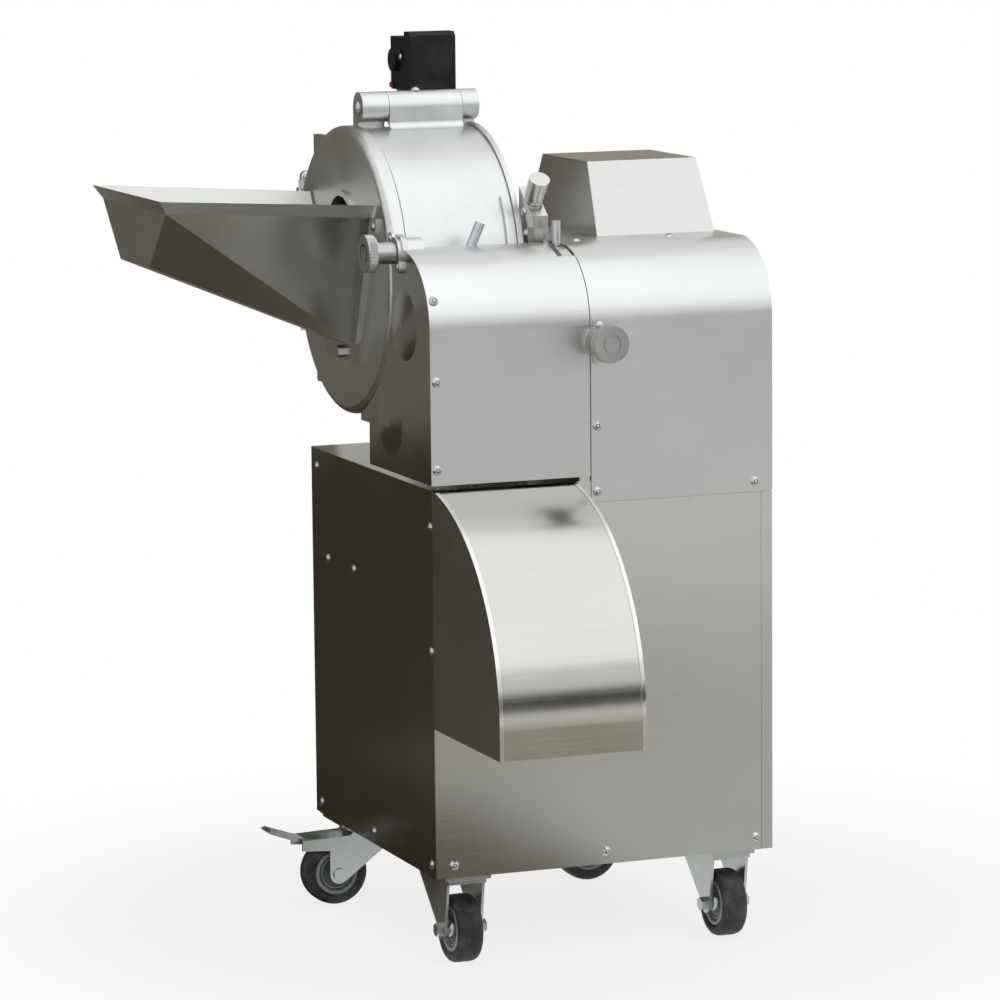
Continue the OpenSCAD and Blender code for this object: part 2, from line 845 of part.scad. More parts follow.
module door_hinge_pins() {
    half = knuckle_h / 2 + play + lug_h;
    color(zinc) stand() for (z = hinge_zs) translate([hinge_x, hinge_y, z]) {
        translate([0, 0, -half]) cylinder(h = 2 * half, r = hinge_pin_r);
        translate([0, 0, half]) cylinder(h = 9, r = 9, $fn = 6);
        translate([0, 0, half + 9]) cylinder(h = 4, r = 7);
        translate([0, 0, half + 13]) dome(7, 7);
        translate([0, 0, -half - 5]) cylinder(h = 5, r = 9, $fn = 6);
    }
}

module drum_shell() {
    pad = [switch_x + 5, switch_x + switch_w - 5];
    color(cast_alu) stand() difference() {
        union() {
            translate([0, drum_y, drum_z]) {
                along_x(drum_x, drum_len) difference() {
                    circle(drum_r);
                    circle(drum_in);
                    sector(0, gate_to + 1);
                }
                along_x(drum_end - drum_wall, drum_wall) circle(drum_in);
                along_x(drum_end - rib_w, rib_w) circle(drum_r + 3);
                along_x(drum_end, bulk_x - drum_end) circle(70);
            }
            gate_lug(drum_x, knuckle_l);
            gate_lug(barrel_end - knuckle_r, knuckle_r);
            difference() {
                block([pad[0], switch_y + 2, drum_z], [pad[1], switch_y + lid_d + switch_d - 10, switch_z]);
                rod_x(0, far, drum_r - 1, drum_y, drum_z);
            }
        }
        rod_x(0, far, shaft_r + 1, drum_y, drum_z);
        rod_x(0, far, gate_pin_r, drum_y, barrel_z);
    }
}

// Outer knuckle of the gate hinge, standing on the drum
module gate_lug(x, len) {
    foot = drum_z + drum_r - 5;
    along_x(x, len) {
        translate([drum_y, barrel_z]) circle(barrel_r);
        translate([drum_y, foot]) square([barrel_r, barrel_z - foot]);
    }
}

module gate_hinge_pin() {
    color(zinc) stand() {
        rod_x(drum_x - 1, barrel_end - drum_x + 2, gate_pin_r, drum_y, barrel_z);
        translate([drum_x - 1, drum_y, barrel_z]) rotate([0, -90, 0]) dome(8, 4);
        translate([barrel_end + 1, drum_y, barrel_z]) rotate([0, 90, 0]) dome(8, 4);
    }
}

module slice_gate() {
    strap_x = drum_x + knuckle_l + play;
    strap_w = barrel_end - knuckle_r - play - strap_x;
    rib_end = 33;
    color(cast_alu) stand() difference() {
        union() {
            along_x(drum_x, gate_end - drum_x) gate_ring(drum_in + play, drum_r, gate_to);
            along_x(gate_end - 3 * guide_w, guide_w) gate_ring(drum_in + play, drum_r + guide_h, rib_end);
            along_x(strap_x, strap_w) gate_strap();
        }
        rod_x(0, far, gate_pin_r + fit, drum_y, barrel_z);
    }
}

// Ring section from the gate's lower end up to an angle
module gate_ring(inner, outer, to) {
    translate([drum_y, drum_z]) intersection() {
        difference() {
            circle(outer);
            circle(inner);
        }
        sector(gate_from, to);
    }
}

// Middle knuckle of the gate with its web, which runs into the gate in a fillet
module gate_strap() {
    front = drum_y - barrel_r;
    round = barrel_r / 2;
    low = drum_z + sqrt(drum_r * drum_r - (barrel_r + round) * (barrel_r + round));
    back = drum_at(drum_r - 4, gate_to - 0.2);
    translate([drum_y, barrel_z]) circle(barrel_r);
    polygon([[front, barrel_z], [front, low - 3], back, [back[0], low + 4], [drum_y, barrel_z - 12],
        [drum_y, barrel_z]]);
    difference() {
        translate([front - round, low - 4]) square([round + 1, round + 4]);
        translate([front - round, low + round]) circle(round);
    }
}

module trip_screw() {
    color(zinc) stand() translate([drum_x + 68, drum_y, barrel_z + barrel_r]) dome(5.5, 4);
}

// Guard switch with its lid, actuator disc, screw and setting mark
module safety_switch() {
    lid = switch_y + lid_d;
    top = switch_z + switch_h;
    bevel = 5;
    color(black) stand() {
        along_x(switch_x, switch_w) polygon([[switch_y, switch_z], [lid, switch_z], [lid, top],
            [switch_y + bevel, top], [switch_y, top - bevel]]);
        block([switch_x + 2, lid, switch_z], [switch_x + switch_w - 3, lid + switch_d, top - 7]);
        rod_x(switch_x - 3, 5, 13, lid + switch_d - 16, switch_z + switch_h / 2);
        translate([switch_x + 2, lid + 20, switch_z + switch_h - 25]) rotate([0, -90, 0]) dome(5, 5);
    }
}

module adjuster_block() {
    window = 12;
    color(steel) stand() difference() {
        along_x(adj_x, adj_w) polygon([[adj_y, bulk_top], [adj_y, adj_z], adj_back,
            [adj_back[0] + 4, bulk_top]]);
        block([adj_x - 1, adj_y - 1, bulk_top - 1], [adj_x + window, adj_y + 14, bulk_top + 18]);
        translate([adj_mid[0], adj_mid[1], adj_mid[2]]) rotate([adj_lean, 0, 0])
            translate([0, 0, -20]) cylinder(h = 40, r = 4 + fit);
    }
    color(zinc) stand() {
        dome_left(adj_x, adj_y + 26, bulk_top + 34);
        dome_left(adj_x, adj_y + 22, bulk_top + 10);
    }
}

module thickness_knob() {
    color(steel) stand() translate(adj_mid) rotate([adj_lean, 0, 0]) {
        translate([0, 0, -18]) cylinder(h = 26, r = 4);
        translate([0, 0, play]) cylinder(h = 6, r = 9.5);
        translate([0, 0, 6]) cylinder(h = 26, r = 11.5);
    }
}

module guide_pin() {
    color(zinc) stand() translate([bulk_x + 5.5, cover_r - 3, bulk_top]) cylinder(h = 28, r = 5);
}

module knife_holder() {
    color(steel) stand()
        block([knife_x, knife_y, drum_z], [bulk_x, knife_y + holder, drum_z + holder]);
}

module slicing_knife() {
    color(steel) stand() along_x(knife_x, gate_end - knife_x)
        polygon([[knife_y + 2, drum_z + holder], [knife_y + 8, drum_z + holder],
            drum_at(drum_in + 2, 10), drum_at(drum_in + 3.5, 10.5)]);
}

module bulkhead() {
    boss = 14;
    color(steel) stand() difference() {
        union() {
            along_x(bulk_x, bulk_t) cover_outline(sheet + play, cab_top, cab_d - sheet);
            block([guard_w, sheet + 2, guard_lock_z - boss],
                [guard_lock_x + boss, sheet + 40, guard_lock_z + boss]);
        }
        rod_x(0, far, shaft_r + fit, drum_y, drum_z);
        rod_x(0, far, spindle_r + fit, cross_y, cross_z);
        rod_x(0, far, spindle_r + fit, circ_y, circ_z);
        rod_y(-far, 2 * far, lock_shaft_r + fit, guard_lock_x, guard_lock_z);
    }
}

// Comb whose fingers stand between the circular knives
module stripper_comb() {
    bar_y = circ_y + circ_r + 4;
    bar_z = circ_z - 10;
    finger = circ_pitch / 2;
    color(steel) stand() {
        block([knife_x, bar_y, bar_z], [bulk_x, bar_y + 12, bar_z + 15]);
        for (i = [0 : circ_n - 2])
            block([circ_x + i * circ_pitch + blade_t + (circ_pitch - blade_t - finger) / 2,
                circ_y + circ_hub + 3, bar_z + 4],
                [circ_x + i * circ_pitch + blade_t + (circ_pitch - blade_t + finger) / 2,
                bar_y + 1, bar_z + 11]);
    }
}

// Disc with paddles that throws the food against the drum
module impeller() {
    color(cast_alu) stand() difference() {
        union() {
            rod_x(drum_end - 56, 35, 32, drum_y, drum_z);
            rod_x(drum_end - 22, 8, drum_in - 4, drum_y, drum_z);
            for (i = [0 : paddle_n - 1])
                translate([0, drum_y, drum_z]) rotate([i * 360 / paddle_n, 0, 0])
                    block([door_depth + 6, -3, 60], [drum_end - 20, 3, drum_in - 4]);
        }
        rod_x(0, far, shaft_r, drum_y, drum_z);
    }
}

module main_shaft() {
    color(zinc) stand()
        rod_x(drum_end - 66, pulley_x + pulley_w + 6 - drum_end + 66, shaft_r, drum_y, drum_z);
}

// Grooved pulley along X
module pulley(r, y, z) {
    groove = belt_t + play;
    rim = (pulley_w - belt_w) / 2 - play;
    rod_x(pulley_x, rim, r, y, z);
    rod_x(pulley_x, pulley_w, r - groove, y, z);
    rod_x(pulley_x + pulley_w - rim, rim, r, y, z);
}

module driven_pulley() {
    color(dark_steel) stand() difference() {
        pulley(pulley_b, drum_y, drum_z);
        rod_x(0, far, shaft_r, drum_y, drum_z);
    }
}

module motor_pulley() {
    color(dark_steel) stand() {
        pulley(pulley_a, drum_y, motor_z);
        rod_x(motor_end - 30, pulley_x + pulley_w + 4 - motor_end + 30, motor_shaft_r, drum_y, motor_z);
    }
}

// Outline of the belt's outside, or of its inside when set in
module belt_outline(inset) {
    a = pulley_a - inset;
    b = pulley_b - inset;
    rise = drum_z - motor_z;
    tilt = asin((b - a) / rise);
    circle(a);
    translate([0, rise]) circle(b);
    polygon([a * [cos(tilt), -sin(tilt)], [0, rise] + b * [cos(tilt), -sin(tilt)],
        [0, rise] + b * [-cos(tilt), -sin(tilt)], a * [-cos(tilt), -sin(tilt)]]);
}

module drive_belt() {
    color(black) stand() along_x(pulley_x + (pulley_w - belt_w) / 2, belt_w)
        translate([drum_y, motor_z]) difference() {
            belt_outline(0);
            belt_outline(belt_t);
        }
}

module crosscut_spindle() {
    color(zinc) stand() rod_x(knife_x, guard_w + 24 - knife_x, spindle_r, cross_y, cross_z);
}

module crosscut_knives() {
    len = bulk_x - knife_x - 8;
    color(steel) stand() translate([0, cross_y, cross_z]) difference() {
        union() {
            rod_x(knife_x + 3, len - 6, 28, 0, 0);
            for (i = [0 : cross_n - 1])
                rotate([i * 360 / cross_n, 0, 0])
                    block([knife_x + 3, -blade_t, 20], [knife_x + len - 3, blade_t, cross_r]);
        }
        rod_x(0, far, spindle_r, 0, 0);
    }
}

module circular_spindle() {
    color(zinc) stand() rod_x(knife_x - 4, guard_w + 28 - knife_x, spindle_r, circ_y, circ_z);
}

module circular_knives() {
    color(steel) stand() difference() {
        union() {
            rod_x(circ_x, circ_pitch * (circ_n - 1) + blade_t, circ_hub, circ_y, circ_z);
            for (i = [0 : circ_n - 1])
                rod_x(circ_x + i * circ_pitch, blade_t, circ_r, circ_y, circ_z);
        }
        rod_x(0, far, spindle_r, circ_y, circ_z);
    }
}

// Closed case of the gear train between the main shaft and the knife spindles
module gear_case() {
    axes = [[drum_y, drum_z], [cross_y, cross_z], [circ_y, circ_z]];
    color(grey_paint) stand() difference() {
        along_x(guard_w, 45) {
            polygon(axes);
            for (c = axes)
                translate(c) circle(30);
        }
        rod_x(0, far, shaft_r + fit, drum_y, drum_z);
        rod_x(0, guard_w + 26, spindle_r + fit, cross_y, cross_z);
        rod_x(0, guard_w + 26, spindle_r + fit, circ_y, circ_z);
    }
}

module motor() {
    fin_n = 24;
    color(grey_paint) stand() difference() {
        union() {
            rod_x(motor_end - motor_len, motor_len, motor_r - 8, drum_y, motor_z);
            rod_x(motor_end - 14, 14, motor_r, drum_y, motor_z);
            for (i = [0 : fin_n - 1])
                translate([0, drum_y, motor_z]) rotate([i * 360 / fin_n, 0, 0])
                    block([motor_end - motor_len + 30, -1.5, motor_r - 12], [motor_end - 10, 1.5, motor_r]);
            for (x = [motor_end - motor_len + 45, motor_end - 60])
                block([x, drum_y - 60, motor_bed_z], [x + 30, drum_y + 60, motor_bed_z + 30]);
        }
        rod_x(motor_end - 40, far, motor_shaft_r + fit, drum_y, motor_z);
    }
}

module right_cover() {
    len = cab_w - drive_x;
    margin = 8;
    color(steel) stand() difference() {
        along_x(drive_x, len) cover_outline(0, seam_z, cab_d - sheet);
        along_x(drive_x - 1, len + 1 - sheet) cover_outline(sheet, seam_z - 1, cab_d);
        block([hood_x + margin, hood_y + margin, cover_top - sheet - 1],
            [hood_x + hood_w - margin, hood_y + hood_d - margin, cover_top + 1]);
        rod_y(-1, 10, lock_shaft_r + 1, guard_lock_x, guard_lock_z);
        for (z = button_zs)
            rod_x(cab_w - 10, 20, button_r + play, button_y, z);
    }
}

// Corners of the hood at a share of its height, set in by the given wall
function hood_row(s, z, wall) = let (
    x = hood_x + s * hood_side + wall,
    y = hood_y + s * hood_lean + wall,
    w = hood_w - 2 * (s * hood_side + wall),
    d = hood_d - 2 * (s * hood_lean + wall))
    [[x, y, z], [x + w, y, z], [x + w, y + d, z], [x, y + d, z]];

module belt_hood() {
    top = cover_top + hood_h;
    color(steel) stand() difference() {
        loft([hood_row(0, cover_top, 0), hood_row(1, top, 0)]);
        loft([hood_row(0, cover_top - 0.01, sheet), hood_row(1 - sheet / hood_h, top - sheet, sheet)]);
    }
}

// Round button along X in the end wall of the drive cover
module button(z, cap_r) {
    stand() {
        rod_x(cab_w - 12, 20, button_r, button_y, z);
        rod_x(cab_w + 6, 6, cap_r, button_y, z);
    }
}

module start_button() {
    color([0.1, 0.5, 0.2]) button(button_zs[1], button_r);
}

module stop_button() {
    color([0.7, 0.1, 0.1]) button(button_zs[0], button_r + 6);
}

// Side plate of a fork, drawn from the axle with the top plate above it
module fork_side(front, back) {
    rise = fork_top - wheel_r;
    circle(11);
    polygon([[-11, 0], [-front, rise], [back, rise], [11, 0]]);
}

module front_caster_forks() {
    color(zinc) stand() for (x = caster_xs) {
        block([x - fork_in - fork_t, front_axle_y - 24, fork_top - plate_t],
            [x + fork_in + fork_t, front_axle_y + fork_back, fork_top]);
        block([x - fork_in - fork_t - 3, max(front_axle_y - 24, 1), fork_top],
            [x + fork_in + fork_t + 6, front_axle_y + fork_back + 6, cab_bot]);
        for (side = [x - fork_in - fork_t, x + fork_in])
            along_x(side, fork_t) translate([front_axle_y, wheel_r]) fork_side(20, fork_back - 4);
        rod_x(x - fork_in - fork_t - 3, 2 * (fork_in + fork_t + 3), axle_r, front_axle_y, wheel_r);
        for (s = [-1, 1])
            translate([x + s * (fork_in + fork_t), front_axle_y, wheel_r]) rotate([0, s * 90, 0])
                cylinder(h = 7, r = 7.5, $fn = 6);
    }
}

// Wheel about the Z axis with a rounded tread, side recesses and a bore
module wheel() {
    round = 5;
    half = wheel_w / 2;
    rotate_extrude() difference() {
        union() {
            translate([0, -half]) square([wheel_r - round, wheel_w]);
            translate([0, -half + round]) square([wheel_r, wheel_w - 2 * round]);
            for (s = [-1, 1])
                translate([wheel_r - round, s * (half - round)]) circle(round);
        }
        for (s = [-1, 1])
            translate([12, s * half - 3]) square([12, 6]);
        translate([-1, -half - 1]) square([axle_r + fit + 1, wheel_w + 2]);
    }
}

// Wheel of a fixed front caster
module front_wheel(x) {
    stand() translate([x, front_axle_y, wheel_r]) rotate([0, 90, 0]) wheel();
}

// Wheel of a swivel caster that trails behind its swivel
module rear_wheel(x) {
    stand() translate([x - trail, swivel_y, wheel_r]) rotate([90, 0, 0]) wheel();
}

module front_left_wheel() {
    color(black) front_wheel(caster_xs[0]);
}

module front_right_wheel() {
    color(black) front_wheel(caster_xs[1]);
}

module rear_left_wheel() {
    color(black) rear_wheel(caster_xs[0]);
}

module rear_right_wheel() {
    color(black) rear_wheel(caster_xs[1]);
}

module rear_caster_plates() {
    color(zinc) stand() for (x = caster_xs) translate([x, swivel_y, 0]) {
        block([-34, -34, fork_top], [44, 34, cab_bot]);
        translate([0, 0, fork_top - 6]) cylinder(h = 6, r = 20);
        translate([0, 0, fork_top - 14]) cylinder(h = 14, r = 6);
    }
}

// Swivel fork with its axle bolt and brake pivot
module rear_fork(x) {
    top = fork_top - 6 - play;
    leg = -trail - 11;
    stand() translate([x, swivel_y, 0]) {
        difference() {
            union() {
                translate([0, 0, top - fork_t]) cylinder(h = fork_t, r = fork_in + fork_t);
                for (y = [-fork_in - fork_t, fork_in])
                    translate([0, y + fork_t, 0]) rotate([90, 0, 0]) linear_extrude(fork_t) {
                        translate([-trail, wheel_r]) circle(11);
                        polygon([[leg, wheel_r], [leg, arm_low], [leg - arm_len, arm_low + 2],
                            [leg - arm_len, arm_top - 2], [-20, arm_top], [-14, top - 1], [18, top - 1],
                            [20, arm_low - 2], [-trail + 8, wheel_r - 8]]);
                    }
            }
            cylinder(h = far, r = 6 + fit);
        }
        for (y = [-fork_in - fork_t - 3, fork_in + fork_t - 4])
            rod_y(y, 7, 7, -trail, wheel_r);
        rod_y(-fork_in - fork_t, 2 * (fork_in + fork_t), axle_r, -trail, wheel_r);
        rod_y(-fork_in - fork_t, 2 * (fork_in + fork_t), pivot_r, -trail + pivot_in, pivot_z);
    }
}

module rear_left_fork() {
    color(zinc) rear_fork(caster_xs[0]);
}

module rear_right_fork() {
    color(zinc) rear_fork(caster_xs[1]);
}

// Foot brake of a swivel caster: lever over the wheel with a pedal
module brake(x) {
    half = fork_in - play;
    low = 2 * wheel_r + 3;
    root = -arm_len - 10;
    stand() translate([x - trail, swivel_y, 0]) difference() {
        union() {
            block([root, -half, low], [pivot_in, half, low + 3]);
            rod_y(-half, 2 * half, pivot_r + 2, pivot_in, pivot_z);
            translate([0, pedal_w / 2, 0]) rotate([90, 0, 0]) linear_extrude(pedal_w)
                polygon([[root + 4, low], [root + 4, low + 3], [root - 6, low + 6], [root - 35, low + 16],
                    [root - 40, low + 14], [root - 37, low + 11.5], [root - 8, low + 1]]);
        }
        rod_y(-half - 1, 2 * half + 2, pivot_r + fit, pivot_in, pivot_z);
    }
}

module rear_left_brake() {
    color(zinc) brake(caster_xs[0]);
}

module rear_right_brake() {
    color(zinc) brake(caster_xs[1]);
}

base_frame();
front_panel();
left_panel();
right_panel();
back_panel();
deck_plate();
panel_screws();
discharge_chute();
product_slide();
front_cover();
end_plate();
cover_screws();
rinse_pipe();
door_lock_housing();
door_lock_knob();
guard_lock_housing();
guard_lock_knob();
drum_door();
hopper();
hopper_fasteners();
door_hinge_arms();
drum_shell();
door_hinge_bracket();
door_hinge_pins();
gate_hinge_pin();
safety_switch();
adjuster_block();
guide_pin();
knife_holder();
slicing_knife();
bulkhead();
stripper_comb();
slice_gate();
trip_screw();
thickness_knob();
impeller();
main_shaft();
driven_pulley();
crosscut_spindle();
crosscut_knives();
circular_spindle();
circular_knives();
gear_case();
motor();
motor_pulley();
drive_belt();
right_cover();
belt_hood();
start_button();
stop_button();
front_caster_forks();
front_left_wheel();
front_right_wheel();
rear_caster_plates();
rear_left_fork();
rear_right_fork();
rear_left_wheel();
rear_right_wheel();
rear_left_brake();
rear_right_brake();
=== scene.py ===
"""Looks of the vegetable dicer: finishes, fine pieces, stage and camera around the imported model."""
import json
import math

import bmesh
import bpy
from bpy.props import FloatProperty, FloatVectorProperty, PointerProperty
from mathutils import Matrix, Vector


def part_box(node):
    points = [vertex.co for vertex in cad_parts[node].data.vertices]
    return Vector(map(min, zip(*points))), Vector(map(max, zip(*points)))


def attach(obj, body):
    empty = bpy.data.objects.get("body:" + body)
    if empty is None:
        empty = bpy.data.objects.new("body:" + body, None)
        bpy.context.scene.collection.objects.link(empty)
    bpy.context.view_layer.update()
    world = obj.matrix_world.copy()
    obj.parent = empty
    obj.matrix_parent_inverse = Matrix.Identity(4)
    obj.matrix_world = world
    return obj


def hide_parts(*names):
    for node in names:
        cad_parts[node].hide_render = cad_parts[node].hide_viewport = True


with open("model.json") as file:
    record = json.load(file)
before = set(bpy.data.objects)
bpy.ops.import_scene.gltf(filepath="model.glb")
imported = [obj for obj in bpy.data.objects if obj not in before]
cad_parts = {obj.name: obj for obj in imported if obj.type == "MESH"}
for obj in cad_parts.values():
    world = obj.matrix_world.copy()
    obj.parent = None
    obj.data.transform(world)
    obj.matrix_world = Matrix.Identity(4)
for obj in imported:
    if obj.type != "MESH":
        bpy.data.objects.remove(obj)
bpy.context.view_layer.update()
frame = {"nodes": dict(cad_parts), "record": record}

bl_info = {
    "name": "Vegetable Dicer Looks",
    "version": (1, 0, 0),
    "blender": (4, 5, 0),
    "location": "View3D > Sidebar > Dicer",
    "description": "Dresses the packed vegetable dicer with its finishes, fine pieces and studio",
    "category": "Object",
}

NODES = frame["nodes"]
MM = 0.001
JOINTS = {joint["name"]: joint for joint in frame["record"]["behaviour"]["joints"]}
ALONG_X, ALONG_Z = 0, 2  # directions that a sheet is brushed in
NOISE_SPAN = {"From Min": 0.3, "From Max": 0.7}  # where most values of a noise pattern lie
WHITE = (1, 1, 1, 1)


def linear(hex_code):
    """Linear RGBA of an sRGB hex value."""
    parts = [int(hex_code[i:i + 2], 16) / 255 for i in (1, 3, 5)]
    return tuple(c / 12.92 if c <= 0.04045 else ((c + 0.055) / 1.055) ** 2.4 for c in parts) + (1.0,)


def colour(name, description, hex_code):
    """Colour property with a default given as sRGB hex."""
    return FloatVectorProperty(name=name, description=description, subtype="COLOR", size=4,
                               min=0, max=1, default=linear(hex_code))


class DICER_PG_finish(bpy.types.PropertyGroup):
    """Colours of the dicer's finishes."""
    sheet: colour("Sheet steel", "Brushed stainless sheet of the cabinet", "#c0c0bc")
    cover: colour("Covers", "Satin stainless sheet of the covers and the hopper's flare", "#d1d2d0")
    chute: colour("Chute sheet", "Brushed stainless sheet of the discharge chute", "#bcbab4")
    machined: colour("Machined steel", "Turned and milled stainless pieces", "#cfcecb")
    casting: colour("Castings", "Satin aluminium castings of the drum, door and gate", "#d0d1d0")
    knob: colour("Knobs", "Turned aluminium of the lock knobs", "#b3b4b1")
    zinc: colour("Zinc plate", "Zinc-plated forks, pins and screws", "#c2c5c7")
    # Painted shade: the steel inside the screw sockets is coloured near-black.
    socket: colour("Screw sockets", "Shadowed steel inside the screw sockets", "#2f2d2a")
    tyre: colour("Tyre", "Rubber of the caster treads", "#232324")
    rim: colour("Wheel rim", "Moulded nylon of the caster rims", "#a9abad")
    # The rim's own nylon, painted darker as the shade in the sunk disc.
    shaded_disc: colour("Wheel disc", "Moulded nylon inside the caster rims", "#55585a")
    # Near-black ring in the gap behind the door: painted shade for the gap's dark line.
    seal: colour("Door seal", "Rubber of the seal behind the drum door", "#141414")
    switch: colour("Switch", "Glass-filled nylon of the guard switch", "#0f0f10")
    marker: colour("Switch marker", "Red plastic of the switch's marker", "#a3231f")
    start: colour("Start button", "Green plastic of the start button", "#2b8a3e")
    stop: colour("Stop button", "Red plastic of the stop button", "#b3211d")
    drive_paint: colour("Drive paint", "Enamel on the motor and gear case", "#5b6871")
    iron: colour("Pulleys", "Turned cast iron of the pulleys", "#5a5a5b")
    belt: colour("Belt", "Rubber of the drive belt", "#1d1d1e")


class DICER_PG_sizes(bpy.types.PropertyGroup):
    """Sizes of the fine detail."""
    edge: FloatProperty(name="Edge round", description="Radius of the sheet and casting edges",
                        default=0.0008, min=0.0002, max=0.003, unit="LENGTH")
    brush: FloatProperty(name="Brush pitch", description="Spacing of the brushing lines as drawn",
                         default=0.0011, min=0.0003, max=0.004, unit="LENGTH")


def add(tree, kind, values=None, links=None, **settings):
    """Adds one shader node with its settings, socket values and incoming links."""
    made = tree.nodes.new(kind)
    for key, value in settings.items():
        setattr(made, key, value)
    for key, value in (values or {}).items():
        made.inputs[key].default_value = value
    for key, source in (links or {}).items():
        tree.links.new(source, made.inputs[key])
    return made


def material(name):
    """New node material with its output node and no shader yet."""
    made = bpy.data.materials.new(name)
    made.use_nodes = True
    made.node_tree.nodes.clear()
    return made, made.node_tree, made.node_tree.nodes.new("ShaderNodeOutputMaterial")


def brushed_stainless(name, colour_value, along, pitch, rough=0.2):
    """Stainless sheet brushed one way: fine parallel scratches stretch each highlight across them."""
    # Real brushing lines lie about 0.1 mm apart, too fine to show, so they are drawn at a wider pitch.
    stroke = 250 * MM
    patches_per_metre = 7.0
    scratch_depth = 0.3 * MM
    made, tree, out = material(name)
    place = add(tree, "ShaderNodeTexCoord")
    line_scale = [1 / pitch] * 3
    line_scale[along] = 1 / stroke
    lines_at = add(tree, "ShaderNodeMapping", {"Scale": line_scale}, {"Vector": place.outputs["Object"]})
    lines = add(tree, "ShaderNodeTexNoise", {"Scale": 1.0, "Detail": 3.0, "Roughness": 0.65},
                {"Vector": lines_at.outputs["Vector"]})
    clouds = add(tree, "ShaderNodeTexNoise",
                 {"Scale": patches_per_metre, "Detail": 4.0, "Roughness": 0.6},
                 {"Vector": place.outputs["Object"]})
    shade = add(tree, "ShaderNodeMix", {0: 0.5},
                {6: lines.outputs["Color"], 7: clouds.outputs["Color"]},
                data_type="RGBA", blend_type="MIX")
    tone = add(tree, "ShaderNodeMapRange", {**NOISE_SPAN, "To Min": 0.9, "To Max": 1.06},
               {"Value": shade.outputs[2]})
    paint = add(tree, "ShaderNodeMix", {0: 1.0, 6: tuple(colour_value)}, {7: tone.outputs["Result"]},
                data_type="RGBA", blend_type="MULTIPLY")
    gloss = add(tree, "ShaderNodeMapRange",
                {**NOISE_SPAN, "To Min": rough - 0.05, "To Max": rough + 0.06},
                {"Value": shade.outputs[2]})
    bump = add(tree, "ShaderNodeBump", {"Strength": 0.08, "Distance": scratch_depth},
               {"Height": lines.outputs["Fac"]})
    shader = add(tree, "ShaderNodeBsdfPrincipled", {"Metallic": 1.0, "Anisotropic": 0.45},
                 {"Base Color": paint.outputs[2], "Roughness": gloss.outputs["Result"],
                  "Normal": bump.outputs["Normal"]})
    tree.links.new(shader.outputs[0], out.inputs["Surface"])
    return made


def grained_metal(name, colour_value, grain, rough, depth=0.2 * MM, cloud=0.12):
    """Metal with an even grain: blasted castings, zinc plate and turned steel scatter light softly."""
    # Real blasting and plating grain is about 0.2 mm, too fine to show, so it is drawn at 1 to 2 mm.
    patches_per_metre = 18.0
    made, tree, out = material(name)
    place = add(tree, "ShaderNodeTexCoord")
    grit = add(tree, "ShaderNodeTexNoise", {"Scale": 1 / grain, "Detail": 3.0, "Roughness": 0.6},
               {"Vector": place.outputs["Object"]})
    clouds = add(tree, "ShaderNodeTexNoise",
                 {"Scale": patches_per_metre, "Detail": 5.0, "Roughness": 0.62},
                 {"Vector": place.outputs["Object"]})
    tone = add(tree, "ShaderNodeMapRange",
               {**NOISE_SPAN, "To Min": 1 - cloud, "To Max": 1 + cloud / 2},
               {"Value": clouds.outputs["Fac"]})
    paint = add(tree, "ShaderNodeMix", {0: 1.0, 6: tuple(colour_value)}, {7: tone.outputs["Result"]},
                data_type="RGBA", blend_type="MULTIPLY")
    gloss = add(tree, "ShaderNodeMapRange",
                {**NOISE_SPAN, "To Min": rough - 0.06, "To Max": rough + 0.08},
                {"Value": clouds.outputs["Fac"]})
    bump = add(tree, "ShaderNodeBump", {"Strength": 0.2, "Distance": depth},
               {"Height": grit.outputs["Fac"]})
    shader = add(tree, "ShaderNodeBsdfPrincipled", {"Metallic": 1.0},
                 {"Base Color": paint.outputs[2], "Roughness": gloss.outputs["Result"],
                  "Normal": bump.outputs["Normal"]})
    tree.links.new(shader.outputs[0], out.inputs["Surface"])
    return made


def moulded(name, colour_value, grain, rough, ior=1.5, depth=0.2 * MM, dust=0.25):
    """Moulded plastic, rubber or enamel: a fine grain, slightly paler where it is rubbed."""
    # Real mould grain is a few tenths of a millimetre, too fine to show, so it is drawn at 1 to 3 mm.
    rubs_per_metre = 45.0
    fade = 0.12
    made, tree, out = material(name)
    place = add(tree, "ShaderNodeTexCoord")
    grit = add(tree, "ShaderNodeTexNoise", {"Scale": 1 / grain, "Detail": 2.0},
               {"Vector": place.outputs["Object"]})
    rubbed = add(tree, "ShaderNodeTexNoise",
                 {"Scale": rubs_per_metre, "Detail": 6.0, "Roughness": 0.65},
                 {"Vector": place.outputs["Object"]})
    wear = add(tree, "ShaderNodeMapRange",
               {"From Min": 0.45, "From Max": 0.75, "To Min": 0.0, "To Max": dust},
               {"Value": rubbed.outputs["Fac"]})
    pale = [c + fade * (1 - c) for c in colour_value[:3]] + [1.0]
    paint = add(tree, "ShaderNodeMix", {6: tuple(colour_value), 7: pale}, {0: wear.outputs["Result"]},
                data_type="RGBA", blend_type="MIX")
    gloss = add(tree, "ShaderNodeMapRange",
                {**NOISE_SPAN, "To Min": rough - 0.08, "To Max": rough + 0.08},
                {"Value": rubbed.outputs["Fac"]})
    bump = add(tree, "ShaderNodeBump", {"Strength": 0.25, "Distance": depth},
               {"Height": grit.outputs["Fac"]})
    shader = add(tree, "ShaderNodeBsdfPrincipled", {"IOR": ior},
                 {"Base Color": paint.outputs[2], "Roughness": gloss.outputs["Result"],
                  "Normal": bump.outputs["Normal"]})
    tree.links.new(shader.outputs[0], out.inputs["Surface"])
    return made


def dress(name, finish, edge=None):
    """Gives a carried-over node its finish, and rounds its edges where a radius is given."""
    thing = NODES[name]
    thing.data.materials.clear()
    thing.data.materials.append(finish)
    if edge:
        soft = thing.modifiers.new("Edge", "BEVEL")
        soft.width = edge
        soft.segments = 2
        soft.limit_method = "ANGLE"
        soft.angle_limit = math.radians(35)
        soft.harden_normals = True


